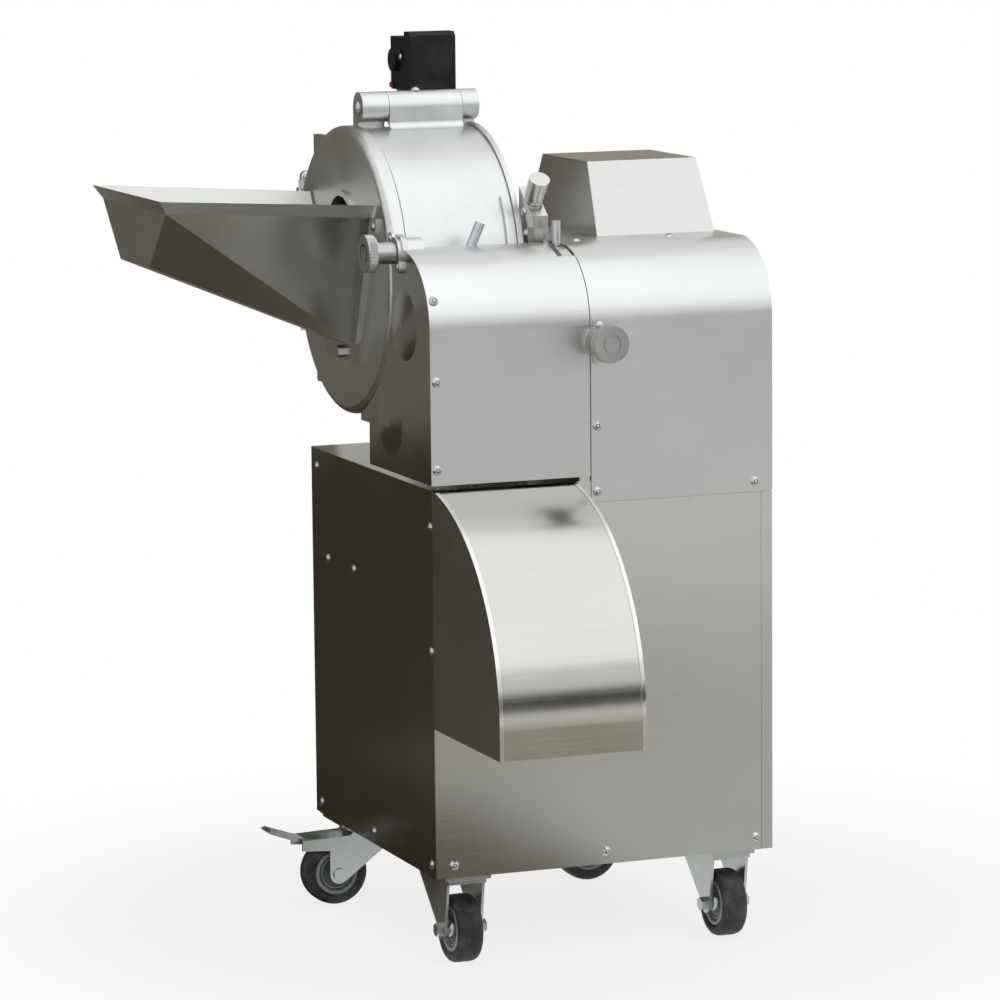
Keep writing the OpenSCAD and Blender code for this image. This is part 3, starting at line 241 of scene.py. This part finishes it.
def second_finish(name, finish, chosen):
    """Gives a finish of their own to the faces of a node that pass a test."""
    mesh = NODES[name].data
    mesh.materials.append(finish)
    for face in mesh.polygons:
        face.material_index = 1 if chosen(face) else 0


class DICER_OT_sheet(bpy.types.Operator):
    """Brushed stainless cabinet, covers, chute and hopper."""
    bl_idname = "dicer.sheet"
    bl_label = "Sheet steel"

    def execute(self, context):
        finish = context.scene.dicer_finish
        sizes = context.scene.dicer_sizes
        # Brushed sheet draws what it mirrors into soft streaks, and a finer brush makes them sharper.
        level = brushed_stainless("Brushed_Stainless_Level", finish.sheet, ALONG_X, sizes.brush)
        upright = brushed_stainless("Brushed_Stainless_Upright", finish.sheet, ALONG_Z, sizes.brush)
        covers = brushed_stainless("Satin_Brushed_Covers", finish.cover, ALONG_X, sizes.brush, 0.34)
        front = brushed_stainless("Brushed_Stainless_Chute", finish.chute, ALONG_X, sizes.brush, 0.17)
        for name in ("front_panel", "deck_plate", "product_slide", "hopper", "belt_hood"):
            dress(name, level, sizes.edge)
        for name in ("front_cover", "right_cover"):
            dress(name, covers, sizes.edge)
        dress("discharge_chute", front, sizes.edge)
        for name in ("left_panel", "right_panel", "back_panel", "end_plate"):
            dress(name, upright, sizes.edge)
        # The chute's cheeks and the hopper's flare are rubbed dull, so they hold an even tone.
        cheeks = brushed_stainless("Brushed_Stainless_Cheeks", finish.sheet, ALONG_Z, sizes.brush, 0.32)
        second_finish("discharge_chute", cheeks, lambda face: abs(face.normal.x) > 0.9)
        flare = brushed_stainless("Satin_Brushed_Flare", finish.cover, ALONG_X, sizes.brush, 0.5)
        flare_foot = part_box("hopper")[1].z - 29 * MM
        second_finish("hopper", flare,
                      lambda face: face.center.z > flare_foot and abs(face.normal.z) < 0.7)
        return {"FINISHED"}


class DICER_OT_castings(bpy.types.Operator):
    """Satin aluminium drum, door, gate, locks and impeller."""
    bl_idname = "dicer.castings"
    bl_label = "Castings"

    def execute(self, context):
        finish = context.scene.dicer_finish
        sizes = context.scene.dicer_sizes
        # Blasting leaves the castings satin, with soft highlights. Turning leaves the knobs brighter.
        satin = grained_metal("Blasted_Cast_Aluminium", finish.casting, 1.6 * MM, 0.36)
        for name in ("drum_door", "drum_shell", "slice_gate", "impeller", "door_hinge_arms",
                     "door_lock_housing", "guard_lock_housing"):
            dress(name, satin, sizes.edge)
        turned = grained_metal("Turned_Aluminium", finish.knob, 1.2 * MM, 0.3)
        for name in ("door_lock_knob", "guard_lock_knob"):
            dress(name, turned, sizes.edge)
        return {"FINISHED"}


class DICER_OT_machined(bpy.types.Operator):
    """Machined stainless knives, shafts, brackets and adjuster."""
    bl_idname = "dicer.machined"
    bl_label = "Machined steel"

    def execute(self, context):
        finish = context.scene.dicer_finish
        sizes = context.scene.dicer_sizes
        # Turned and milled steel is bright and even, with crisp edges.
        turned = grained_metal("Turned_Stainless", finish.machined, 1.2 * MM, 0.26, cloud=0.08)
        for name in ("door_hinge_bracket", "adjuster_block", "thickness_knob", "knife_holder",
                     "slicing_knife", "bulkhead", "stripper_comb", "crosscut_knives",
                     "circular_knives", "base_frame", "main_shaft", "crosscut_spindle",
                     "circular_spindle"):
            dress(name, turned, sizes.edge / 2)
        return {"FINISHED"}


class DICER_OT_hardware(bpy.types.Operator):
    """Zinc-plated screws, pins, forks and brakes."""
    bl_idname = "dicer.hardware"
    bl_label = "Hardware"

    def execute(self, context):
        finish = context.scene.dicer_finish
        sizes = context.scene.dicer_sizes
        # Zinc plate is a cool grey with cloudy patches.
        plate = grained_metal("Zinc_Plated_Steel", finish.zinc, 2.2 * MM, 0.3, cloud=0.2)
        for name in ("panel_screws", "cover_screws", "rinse_pipe", "hopper_fasteners",
                     "door_hinge_pins", "gate_hinge_pin", "guide_pin", "trip_screw",
                     "front_caster_forks", "rear_caster_plates", "rear_left_fork",
                     "rear_right_fork", "rear_left_brake", "rear_right_brake"):
            dress(name, plate, sizes.edge / 2)
        return {"FINISHED"}


class DICER_OT_drive(bpy.types.Operator):
    """Enamelled motor and gear case, iron pulleys, belt, switch and buttons."""
    bl_idname = "dicer.drive"
    bl_label = "Drive and switches"

    def execute(self, context):
        finish = context.scene.dicer_finish
        # Enamel and button plastic are smooth and shiny. Iron, belt and filled nylon are dull.
        enamel = moulded("Grey_Enamel", finish.drive_paint, 3 * MM, 0.35)
        iron = grained_metal("Turned_Cast_Iron", finish.iron, 2 * MM, 0.45)
        belt = moulded("Belt_Rubber", finish.belt, 1.5 * MM, 0.75)
        nylon = moulded("Glass_Filled_Nylon", finish.switch, 1.2 * MM, 0.55, ior=1.38, dust=0.08)
        red = moulded("Red_Button_Plastic", finish.stop, 2 * MM, 0.3)
        green = moulded("Green_Button_Plastic", finish.start, 2 * MM, 0.3)
        dress("motor", enamel, 0.6 * MM)
        dress("gear_case", enamel, 1.5 * MM)
        dress("driven_pulley", iron, 0.5 * MM)
        dress("motor_pulley", iron, 0.5 * MM)
        dress("drive_belt", belt)
        dress("safety_switch", nylon, 1.2 * MM)
        dress("stop_button", red, 1 * MM)
        dress("start_button", green, 1 * MM)
        return {"FINISHED"}


def square_to(along):
    """Two unit vectors that are square to an axis and to each other."""
    side = along.orthogonal().normalized()
    return side, along.cross(side)


def skin(rows, count, start=0):
    """Four-sided faces between neighbouring rings of points."""
    faces = []
    for row in range(rows - 1):
        here, there = start + row * count, start + (row + 1) * count
        for k in range(count):
            nxt = (k + 1) % count
            faces.append((here + k, here + nxt, there + nxt, there + k))
    return faces


def placed(name, mesh):
    """Puts a mesh into the scene, closed where its ends meet, with outward and smooth faces."""
    shape = bmesh.new()
    shape.from_mesh(mesh)
    bmesh.ops.remove_doubles(shape, verts=shape.verts, dist=1e-7)
    bmesh.ops.recalc_face_normals(shape, faces=shape.faces)
    shape.to_mesh(mesh)
    shape.free()
    mesh.shade_smooth()
    made = bpy.data.objects.new(name, mesh)
    bpy.context.collection.objects.link(made)
    sharp = made.modifiers.new("Sharp", "EDGE_SPLIT")
    sharp.split_angle = math.radians(38)
    return made


def built(name, points, faces, finish):
    """Piece from its points and faces, in one finish."""
    mesh = bpy.data.meshes.new(name)
    mesh.from_pydata(points, [], faces)
    mesh.materials.append(finish)
    return placed(name, mesh)


def in_mm(*rows):
    """Lathe profile of one finish from radii and heights in millimetres."""
    return [(radius * MM, height * MM, 0) for radius, height in rows]


def lathe(name, profile, centre, axis, finishes, steps=64):
    """Turned piece. Each profile row is a radius, a height and the finish of the band that follows."""
    middle = Vector(centre)
    along = Vector(axis).normalized()
    side, up = square_to(along)
    points = []
    for radius, height, _ in profile:
        for k in range(steps):
            turn = math.tau * k / steps
            spoke = math.cos(turn) * side + math.sin(turn) * up
            points.append(middle + height * along + radius * spoke)
    mesh = bpy.data.meshes.new(name)
    mesh.from_pydata(points, [], skin(len(profile), steps))
    for finish in finishes:
        mesh.materials.append(finish)
    for face in mesh.polygons:
        face.material_index = profile[face.index // steps][2]
    return placed(name, mesh)


class DICER_OT_wheels(bpy.types.Operator):
    """Caster wheels: rubber tread on a nylon rim with a pale ring, a sunk disc painted darker as shade, and
    a steel hub.
    """
    bl_idname = "dicer.wheels"
    bl_label = "Wheels"

    def execute(self, context):
        finish = context.scene.dicer_finish
        # Tread rubber is dull and dusty, nylon has a low sheen, and the hub is plated. The sunk disc is the
        # rim's nylon painted darker, as painted shade in the recess.
        rubber = moulded("Tread_Rubber", finish.tyre, 1.4 * MM, 0.6, dust=1.0)
        ring = moulded("Rim_Nylon", finish.rim, 1.6 * MM, 0.4)
        shaded_disc = moulded("Disc_Nylon_Painted_Shade", finish.shaded_disc, 1.6 * MM, 0.45)
        hub = grained_metal("Hub_Steel", finish.zinc, 1.8 * MM, 0.3)
        profile = self.profile()
        for name in ("front_left", "front_right", "rear_left", "rear_right"):
            node = name + "_wheel"
            low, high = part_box(node)
            size = Vector(high) - Vector(low)
            middle = (Vector(low) + Vector(high)) / 2
            axis = (1, 0, 0) if size.x < size.y else (0, 1, 0)
            wheel = lathe("caster_" + name, profile, middle, axis, (hub, shaded_disc, ring, rubber))
            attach(wheel, name + "_roll" if name.startswith("rear") else name)
            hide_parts(node)
        return {"FINISHED"}

    def profile(self):
        """Closed section of the wheel, from its bore over one face and the tread to the other face."""
        # The disc band takes the nylon that is painted darker as shade.
        hub, shaded_disc, ring, tread = range(4)
        half = [(4.1, 15, hub), (8.5, 15, hub), (9.5, 13.5, hub), (10, 10.6, shaded_disc), (16.5, 10.2, shaded_disc),
                (17.2, 11, ring), (18.4, 11, shaded_disc), (19.2, 10.4, shaded_disc), (21, 10.4, ring),
                (21.6, 12.6, ring), (25, 12.8, ring), (25.4, 12, tread), (26, 12.6, tread),
                (28, 13.6, tread), (31.5, 14.4, tread), (34, 14.2, tread), (35.7, 12.8, tread),
                (36.9, 10.4, tread), (37.4, 6.5, tread), (37.5, 2.2, tread), (37.2, 1.9, tread),
                (37.2, 0, tread)]
        mirrored = [(r, -h, half[i - 1][2]) for i, (r, h, _) in enumerate(half)][::-1]
        return [(r * MM, h * MM, band) for r, h, band in half[:-1] + mirrored + half[:1]]


class DICER_OT_knobs(bpy.types.Operator):
    """Knurled bands round the two lock knobs."""
    bl_idname = "dicer.knobs"
    bl_label = "Knurled knobs"

    def execute(self, context):
        finish = context.scene.dicer_finish
        # Knurling breaks the light into fine stripes, so the metal between them looks duller.
        ridged = grained_metal("Knurled_Aluminium", finish.knob, 1 * MM, 0.4)
        for node, joint, axis in (("door_lock_knob", "door_lock_turn", (-1, 0, 0)),
                                  ("guard_lock_knob", "guard_lock_turn", (0, -1, 0))):
            outward = axis.index(-1)
            middle = Vector(JOINTS[joint]["pos_m"])
            middle[outward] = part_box(node)[0][outward]
            band = self.band(node + "_knurl", middle, Vector(axis), ridged)
            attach(band, JOINTS[joint]["child"])
        return {"FINISHED"}

    def band(self, name, middle, along, finish):
        """Band with straight ridges, wrapped round a knob's edge."""
        ridges, crest, depth, bore = 80, 20.45 * MM, 0.5 * MM, 19.6 * MM
        top, foot = -1.2 * MM, -9.8 * MM
        side, up = square_to(along)
        count = 2 * ridges
        points, faces = [], []
        for k in range(count):
            turn = math.tau * k / count
            spoke = math.cos(turn) * side + math.sin(turn) * up
            reach = crest - (k % 2) * depth
            points += [middle + height * along + radius * spoke for height, radius in
                       ((top, bore), (top, reach), (foot, reach), (foot, bore))]
            here, there = 4 * k, 4 * ((k + 1) % count)
            for i in range(4):
                j = (i + 1) % 4
                faces.append((here + i, there + i, there + j, here + j))
        return built(name, points, faces, finish)


class DICER_OT_gap_shade(bpy.types.Operator):
    """Near-black ring sunk in the gap behind the drum door: painted shade, so the gap reads as the dark
    line round its rim.
    """
    bl_idname = "dicer.seal"
    bl_label = "Door seal"

    def execute(self, context):
        finish = context.scene.dicer_finish
        # The ring is matt and nearly black, as painted shade in the gap behind the door.
        rubber = moulded("Gap_Shade_Rubber", finish.seal, 1.5 * MM, 0.7, ior=1.4)
        low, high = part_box("drum_door")
        rim = (high.z - low.z) / 2
        inner, outer, chamfer = rim - 14 * MM, rim - 4 * MM, 0.4 * MM
        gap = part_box("slice_gate")[0].x - high.x
        back = gap - 0.2 * MM
        section = [(inner, 0, 0), (outer - chamfer, 0, 0), (outer, chamfer, 0),
                   (outer, gap - 0.5 * MM, 0), (outer - chamfer, back, 0), (inner, back, 0),
                   (inner, 0, 0)]
        centre = (high.x, (low.y + high.y) / 2, (low.z + high.z) / 2)
        seal = lathe("door_gap_shade_ring", section, centre, (1, 0, 0), (rubber,), 128)
        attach(seal, "door")
        return {"FINISHED"}


class DICER_OT_switch(bpy.types.Operator):
    """Raised lid, side screw and red marker of the guard switch."""
    bl_idname = "dicer.switch"
    bl_label = "Switch details"

    def execute(self, context):
        finish = context.scene.dicer_finish
        # The lid is polished, so it is glossier than the box. The screw is bright nickel plate.
        gloss = moulded("Polished_Nylon_Lid", finish.switch, 2 * MM, 0.28, ior=1.42, dust=0.08)
        bright = grained_metal("Nickel_Screw", finish.zinc, 1 * MM, 0.22)
        red = moulded("Red_Marker_Plastic", finish.marker, 2 * MM, 0.35)
        low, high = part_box("safety_switch")
        margin, left_margin = 3 * MM, 6 * MM
        across = (low.x + left_margin, high.x - margin)
        upright = (low.z + margin, high.z - margin)
        lid = self.plate("switch_lid", across, upright, low.y, gloss)
        to_left, steps = (-1, 0, 0), 24
        dome = in_mm((0, -0.4), (3.2, -0.4), (3.2, 0.5), (2.7, 1.3), (1.6, 1.9), (0.7, 1.9),
                     (0.6, 1.3), (0, 1.3))
        screw_at = (low.x, low.y + 26 * MM, (low.z + high.z) / 2 + 5 * MM)
        screw = lathe("switch_screw", dome, screw_at, to_left, (bright,), steps)
        pip = in_mm((0, -0.2), (3.4, -0.2), (3.4, 1.6), (2.6, 2.4), (0, 2.6))
        marker_at = (low.x + 3.2 * MM, high.y - 8 * MM, low.z + 5 * MM)
        marker = lathe("switch_marker", pip, marker_at, to_left, (red,), steps)
        for piece, slot in ((lid, "black_plastic"), (screw, "zinc_steel"), (marker, "red_plastic")):
            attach(piece, "base")
        return {"FINISHED"}

    def plate(self, name, across, upright, front, finish):
        """Rounded plate with a chamfered edge on the switch's front."""
        corner, rise, chamfer, sunk, steps = 5 * MM, 1.2 * MM, 0.5 * MM, 0.3 * MM, 8
        rows = ((0.0, sunk), (0.0, chamfer - rise), (chamfer, -rise))
        (left, right), (foot, head) = across, upright
        middles = ((right - corner, head - corner), (left + corner, head - corner),
                   (left + corner, foot + corner), (right - corner, foot + corner))
        points = []
        for inset, height in rows:
            reach = corner - inset
            for quarter, (x, z) in enumerate(middles):
                for k in range(steps + 1):
                    turn = math.pi / 2 * (quarter + k / steps)
                    points.append((x + reach * math.cos(turn), front + height, z + reach * math.sin(turn)))
        count = 4 * (steps + 1)
        faces = [tuple(range(count)), tuple(range(2 * count, 3 * count))] + skin(len(rows), count)
        return built(name, points, faces, finish)


class DICER_OT_screws(bpy.types.Operator):
    """Hexagon sockets sunk in the domed screw heads."""
    bl_idname = "dicer.screws"
    bl_label = "Screw sockets"

    def execute(self, context):
        finish = context.scene.dicer_finish
        # The inside of a socket is in shadow, so its steel is painted near-black and dull: painted shade.
        dark = grained_metal("Socket_Shadow_Steel", finish.socket, 1 * MM, 0.5)
        for node, body in (("panel_screws", "base"), ("cover_screws", "guard")):
            points, faces = [], []
            for head in self.heads(NODES[node].data):
                self.socket(head, points, faces)
            sockets = built(node + "_sockets", points, faces, dark)
            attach(sockets, body)
        return {"FINISHED"}

    def heads(self, mesh):
        """Corner points of each screw head in the mesh."""
        shape = bmesh.new()
        shape.from_mesh(mesh)
        bmesh.ops.remove_doubles(shape, verts=shape.verts, dist=1e-6)
        left = set(shape.verts)
        found = []
        while left:
            reach, head = [left.pop()], []
            while reach:
                corner = reach.pop()
                head.append(corner.co.copy())
                for edge in corner.link_edges:
                    other = edge.other_vert(corner)
                    if other in left:
                        left.discard(other)
                        reach.append(other)
            found.append(head)
        shape.free()
        return found

    def flattest(self, head, middle):
        """Direction in which a head's points spread least, which is the screw's axis."""
        spread = Matrix(((0,) * 3,) * 3)
        for corner in head:
            off = corner - middle
            for i in range(3):
                for j in range(3):
                    spread[i][j] += off[i] * off[j]
        # Repeated products with the inverse turn any start towards the least spread.
        tiny, rounds = 1e-12, 40
        inverse = (spread + Matrix.Identity(3) * tiny).inverted()
        axis = Vector((1, 1, 1)).normalized()
        for _ in range(rounds):
            axis = (inverse @ axis).normalized()
        return axis

    def socket(self, head, points, faces):
        """Six-sided recess with a chamfered mouth on the top of one head."""
        middle = sum(head, Vector()) / len(head)
        axis = self.flattest(head, middle)
        # The widest point lies at the head's foot, so the top is the end further from it.
        far = max(head, key=lambda c: (c - middle - (c - middle).dot(axis) * axis).length)
        base = (far - middle).dot(axis)
        heights = [(c - middle).dot(axis) for c in head]
        top = max(heights) if abs(max(heights) - base) > abs(min(heights) - base) else min(heights)
        if top < base:
            axis, top = -axis, -top
        ring = middle + axis * top
        side, up = square_to(axis)
        sides, start = 6, len(points)
        rows = in_mm((2.6, -0.42), (2.3, 0.02), (1.9, -0.2), (0.3, -0.25))
        for radius, height, _ in rows:
            for k in range(sides):
                turn = math.tau * k / sides
                spoke = math.cos(turn) * side + math.sin(turn) * up
                points.append(ring + height * axis + radius * spoke)
        floor = start + (len(rows) - 1) * sides
        faces += skin(len(rows), sides, start)
        faces += [tuple(start + k for k in range(sides)), tuple(floor + k for k in range(sides))]


class DICER_OT_chute(bpy.types.Operator):
    """Folded bright edges along the chute's curved front."""
    bl_idname = "dicer.chute"
    bl_label = "Chute edges"

    def execute(self, context):
        finish = context.scene.dicer_finish
        # The folded edges are polished, so each draws a thin bright line.
        bright = grained_metal("Polished_Stainless_Edge", finish.machined, 1 * MM, 0.16, cloud=0.05)
        low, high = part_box("discharge_chute")
        width, lift = 4.5 * MM, 0.7 * MM
        path = self.path(low, high)
        last = 4 * (len(path) - 1)
        for name, left in (("chute_edge_left", low[0]), ("chute_edge_right", high[0] - width)):
            points = []
            for y, z, out_y, out_z in path:
                for x, off in ((left, -lift), (left, lift), (left + width, lift), (left + width, -lift)):
                    points.append((x, y + off * out_y, z + off * out_z))
            faces = skin(len(path), 4) + [(0, 1, 2, 3), tuple(last + i for i in (3, 2, 1, 0))]
            strip = built(name, points, faces, bright)
            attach(strip, "base")
        return {"FINISHED"}

    def path(self, low, high):
        """Points and outward directions up the chute's front, in y and z."""
        radius, lip, steps = 231 * MM, 32 * MM, 48
        centre_y, centre_z = low[1] + radius, low[2] + lip
        whole = math.asin(min(1.0, (high[2] - centre_z) / radius))
        rows = [(low[1], low[2], -1.0, 0.0)]
        for k in range(steps + 1):
            turn = whole * k / steps
            out_y, out_z = -math.cos(turn), math.sin(turn)
            rows.append((centre_y + radius * out_y, centre_z + radius * out_z, out_y, out_z))
        return rows


def flat(name, finish, corners):
    """Flat stage piece through four corners."""
    mesh = bpy.data.meshes.new(name)
    mesh.from_pydata([Vector(c) for c in corners], [], [(0, 1, 2, 3)])
    mesh.materials.append(finish)
    made = bpy.data.objects.new(name, mesh)
    bpy.context.collection.objects.link(made)
    return made


def upright(left, right, low, high):
    """Corners of a standing card from the x and y of its two ends and the heights of its edges."""
    return [(*left, low), (*right, low), (*right, high), (*left, high)]


def lying(height, *corners):
    """Corners of a card that lies just over the floor."""
    return [(x, y, height) for x, y in corners]


# Each card glows with its set colour and is hidden from the camera, from diffuse light and from shadows, so
# it paints only the tones that the metal reflects.
CARDS = (
    ("side_card_low", "#3d372b", upright((-4.0, 1.6), (0.06, 0.852), 0.0, 0.42)),
    ("side_card_high", "#716e65", upright((-4.0, 1.6), (0.06, 0.852), 0.42, 2.4)),
    ("side_floor_card", "#352f26", lying(0.006, (-0.56, 0.12), (-0.21, 0.12), (-0.21, 0.9), (-0.56, 1.0))),
    ("left_floor_card", "#5d584e", lying(0.003, (-3.6, -1.6), (-0.21, -1.6), (-0.21, 1.0), (-3.6, 1.5))),
    ("near_floor_card", "#69645a", lying(0.006, (-0.21, -1.1), (0.14, -1.1), (0.14, -0.3), (-0.21, -0.3))),
    ("front_floor_card", "#d4d3d0", lying(0.004, (-0.56, -2.35), (2.6, -2.35), (1.8, -0.4), (-0.56, -0.4))),
    ("chute_floor_card", "#a39c8d", lying(0.008, (0.22, -2.3), (0.62, -2.3), (0.56, -1.3), (0.18, -1.3))),
    ("horizon_card", "#2a3036", upright((-0.4, -4.8), (3.6, -4.2), 0.12, 0.85)),
    ("back_card", "#98968b", upright((-1.0, 3.2), (4.5, 2.8), 0.9, 3.0)),
)


def card(name, hex_code, corners):
    """Glowing card of a set colour that shows only in the metal's reflections, where it paints the
    reflected tone.
    """
    made, tree, out = material(name)
    tone = add(tree, "ShaderNodeEmission", {"Color": linear(hex_code), "Strength": 1.0})
    tree.links.new(tone.outputs[0], out.inputs["Surface"])
    sheet = flat(name, made, corners)
    sheet.visible_camera = False
    sheet.visible_diffuse = False
    sheet.visible_shadow = False


def seen_rays(tree):
    """Socket that is 1 for rays from the camera and for those that gloss and glass send on."""
    path = add(tree, "ShaderNodeLightPath")
    mirrored = add(tree, "ShaderNodeMath",
                   links={0: path.outputs["Is Camera Ray"], 1: path.outputs["Is Glossy Ray"]},
                   operation="MAXIMUM")
    seen = add(tree, "ShaderNodeMath",
               links={0: mirrored.outputs[0], 1: path.outputs["Is Transmission Ray"]},
               operation="MAXIMUM")
    return seen.outputs[0]


def floor_paper(name, hex_code):
    """Pale paper floor that keeps the shadow near the object and runs out to plain white further off."""
    shadow_reach, white_from, white_near = 0.35, 0.95, 0.8
    made, tree, out = material(name)
    paper = add(tree, "ShaderNodeBsdfDiffuse", {"Color": linear(hex_code), "Roughness": 0.6})
    place = add(tree, "ShaderNodeNewGeometry")
    reach = add(tree, "ShaderNodeVectorMath", links={0: place.outputs["Position"]}, operation="LENGTH")
    away = add(tree, "ShaderNodeMapRange",
               {"From Min": shadow_reach, "From Max": white_from, "To Min": white_near, "To Max": 1.0},
               {"Value": reach.outputs["Value"]}, interpolation_type="SMOOTHSTEP")
    share = add(tree, "ShaderNodeMath", links={0: seen_rays(tree), 1: away.outputs["Result"]},
                operation="MULTIPLY")
    white = add(tree, "ShaderNodeEmission", {"Color": WHITE, "Strength": 1.0})
    mix = add(tree, "ShaderNodeMixShader",
              links={0: share.outputs[0], 1: paper.outputs[0], 2: white.outputs[0]})
    tree.links.new(mix.outputs[0], out.inputs["Surface"])
    return made


def lamp(name, place, target, size, power, tint):
    """Rectangular soft light aimed at a point."""
    data = bpy.data.lights.new(name, "AREA")
    data.shape = "RECTANGLE"
    data.size, data.size_y = size
    data.energy = power
    data.color = linear(tint)[:3]
    made = bpy.data.objects.new(name, data)
    bpy.context.collection.objects.link(made)
    aim = (Vector(target) - Vector(place)).to_track_quat("-Z", "Y").to_matrix().to_4x4()
    made.matrix_world = Matrix.Translation(place) @ aim


class DICER_OT_stage(bpy.types.Operator):
    """Pale floor, glowing cards that paint the metal's reflections, soft light and the camera."""
    bl_idname = "dicer.stage"
    bl_label = "Stage"

    def execute(self, context):
        context.scene.view_settings.view_transform = "Standard"
        self.surround(context.scene)
        half = 9
        flat("floor", floor_paper("Floor_Paper", "#f4f4f2"),
             lying(0, (-half, -half), (half, -half), (half, half), (-half, half)))
        for name, hex_code, corners in CARDS:
            card(name, hex_code, corners)
        lamp("key", (0.9, -2.2, 4.2), (0.0, 0.0, 0.6), (4.4, 7.5), 64, "#f3f7ff")
        self.aim_camera(context)
        return {"FINISHED"}

    def surround(self, scene):
        """Soft even light from all round, plain white where it is seen."""
        scene.world = bpy.data.worlds.new("Studio")
        scene.world.use_nodes = True
        tree = scene.world.node_tree
        tree.nodes.clear()
        soft = add(tree, "ShaderNodeBackground", {"Color": linear("#e9ecef"), "Strength": 0.55})
        white = add(tree, "ShaderNodeBackground", {"Color": WHITE, "Strength": 1.0})
        mix = add(tree, "ShaderNodeMixShader",
                  links={0: seen_rays(tree), 1: soft.outputs[0], 2: white.outputs[0]})
        add(tree, "ShaderNodeOutputWorld", links={"Surface": mix.outputs[0]})

    def aim_camera(self, context):
        """Camera at the photograph's viewing angle."""
        eye_at = (-1.984284, -5.030025, 1.26731)
        yaw, pitch, roll = 0.368, 0.151, -0.01
        camera = bpy.data.cameras.new("Camera")
        camera.lens = 174.7705
        camera.sensor_width = 36.0
        camera.shift_y = 0.028423
        camera.clip_end = 100
        forward = Vector((math.sin(yaw) * math.cos(pitch), math.cos(yaw) * math.cos(pitch),
                          -math.sin(pitch)))
        right = Vector((math.cos(yaw), -math.sin(yaw), 0.0))
        up = right.cross(forward)
        side = math.cos(roll) * right + math.sin(roll) * up
        top = -math.sin(roll) * right + math.cos(roll) * up
        turn = Matrix((side, top, -forward)).transposed().to_4x4()
        eye = bpy.data.objects.new("Camera", camera)
        context.collection.objects.link(eye)
        eye.matrix_world = Matrix.Translation(eye_at) @ turn
        context.scene.camera = eye


class DICER_PT_panel(bpy.types.Panel):
    """Sidebar panel with the dicer's settings and pieces."""
    bl_idname = "DICER_PT_panel"
    bl_label = "Dicer"
    bl_space_type = "VIEW_3D"
    bl_region_type = "UI"
    bl_category = "Dicer"

    def draw(self, context):
        for group in (context.scene.dicer_finish, context.scene.dicer_sizes):
            for key in group.bl_rna.properties.keys():
                if key not in ("rna_type", "name"):
                    self.layout.prop(group, key)
        for step in STEPS:
            self.layout.operator(step.bl_idname)


STEPS = (DICER_OT_sheet, DICER_OT_castings, DICER_OT_machined, DICER_OT_hardware, DICER_OT_drive,
         DICER_OT_wheels, DICER_OT_knobs, DICER_OT_gap_shade, DICER_OT_switch, DICER_OT_screws,
         DICER_OT_chute, DICER_OT_stage)
CLASSES = (DICER_PG_finish, DICER_PG_sizes) + STEPS + (DICER_PT_panel,)


def register():
    """Registers the classes and the scene's settings."""
    for each in CLASSES:
        bpy.utils.register_class(each)
    bpy.types.Scene.dicer_finish = PointerProperty(type=DICER_PG_finish)
    bpy.types.Scene.dicer_sizes = PointerProperty(type=DICER_PG_sizes)


def unregister():
    """Takes the classes and the scene's settings away again."""
    del bpy.types.Scene.dicer_sizes
    del bpy.types.Scene.dicer_finish
    for each in reversed(CLASSES):
        bpy.utils.unregister_class(each)


def main():
    """Dresses the dicer step by step."""
    register()
    bpy.ops.dicer.sheet()
    bpy.ops.dicer.castings()
    bpy.ops.dicer.machined()
    bpy.ops.dicer.hardware()
    bpy.ops.dicer.drive()
    bpy.ops.dicer.wheels()
    bpy.ops.dicer.knobs()
    bpy.ops.dicer.seal()
    bpy.ops.dicer.switch()
    bpy.ops.dicer.screws()
    bpy.ops.dicer.chute()
    bpy.ops.dicer.stage()


if __name__ == "__main__":
    main()
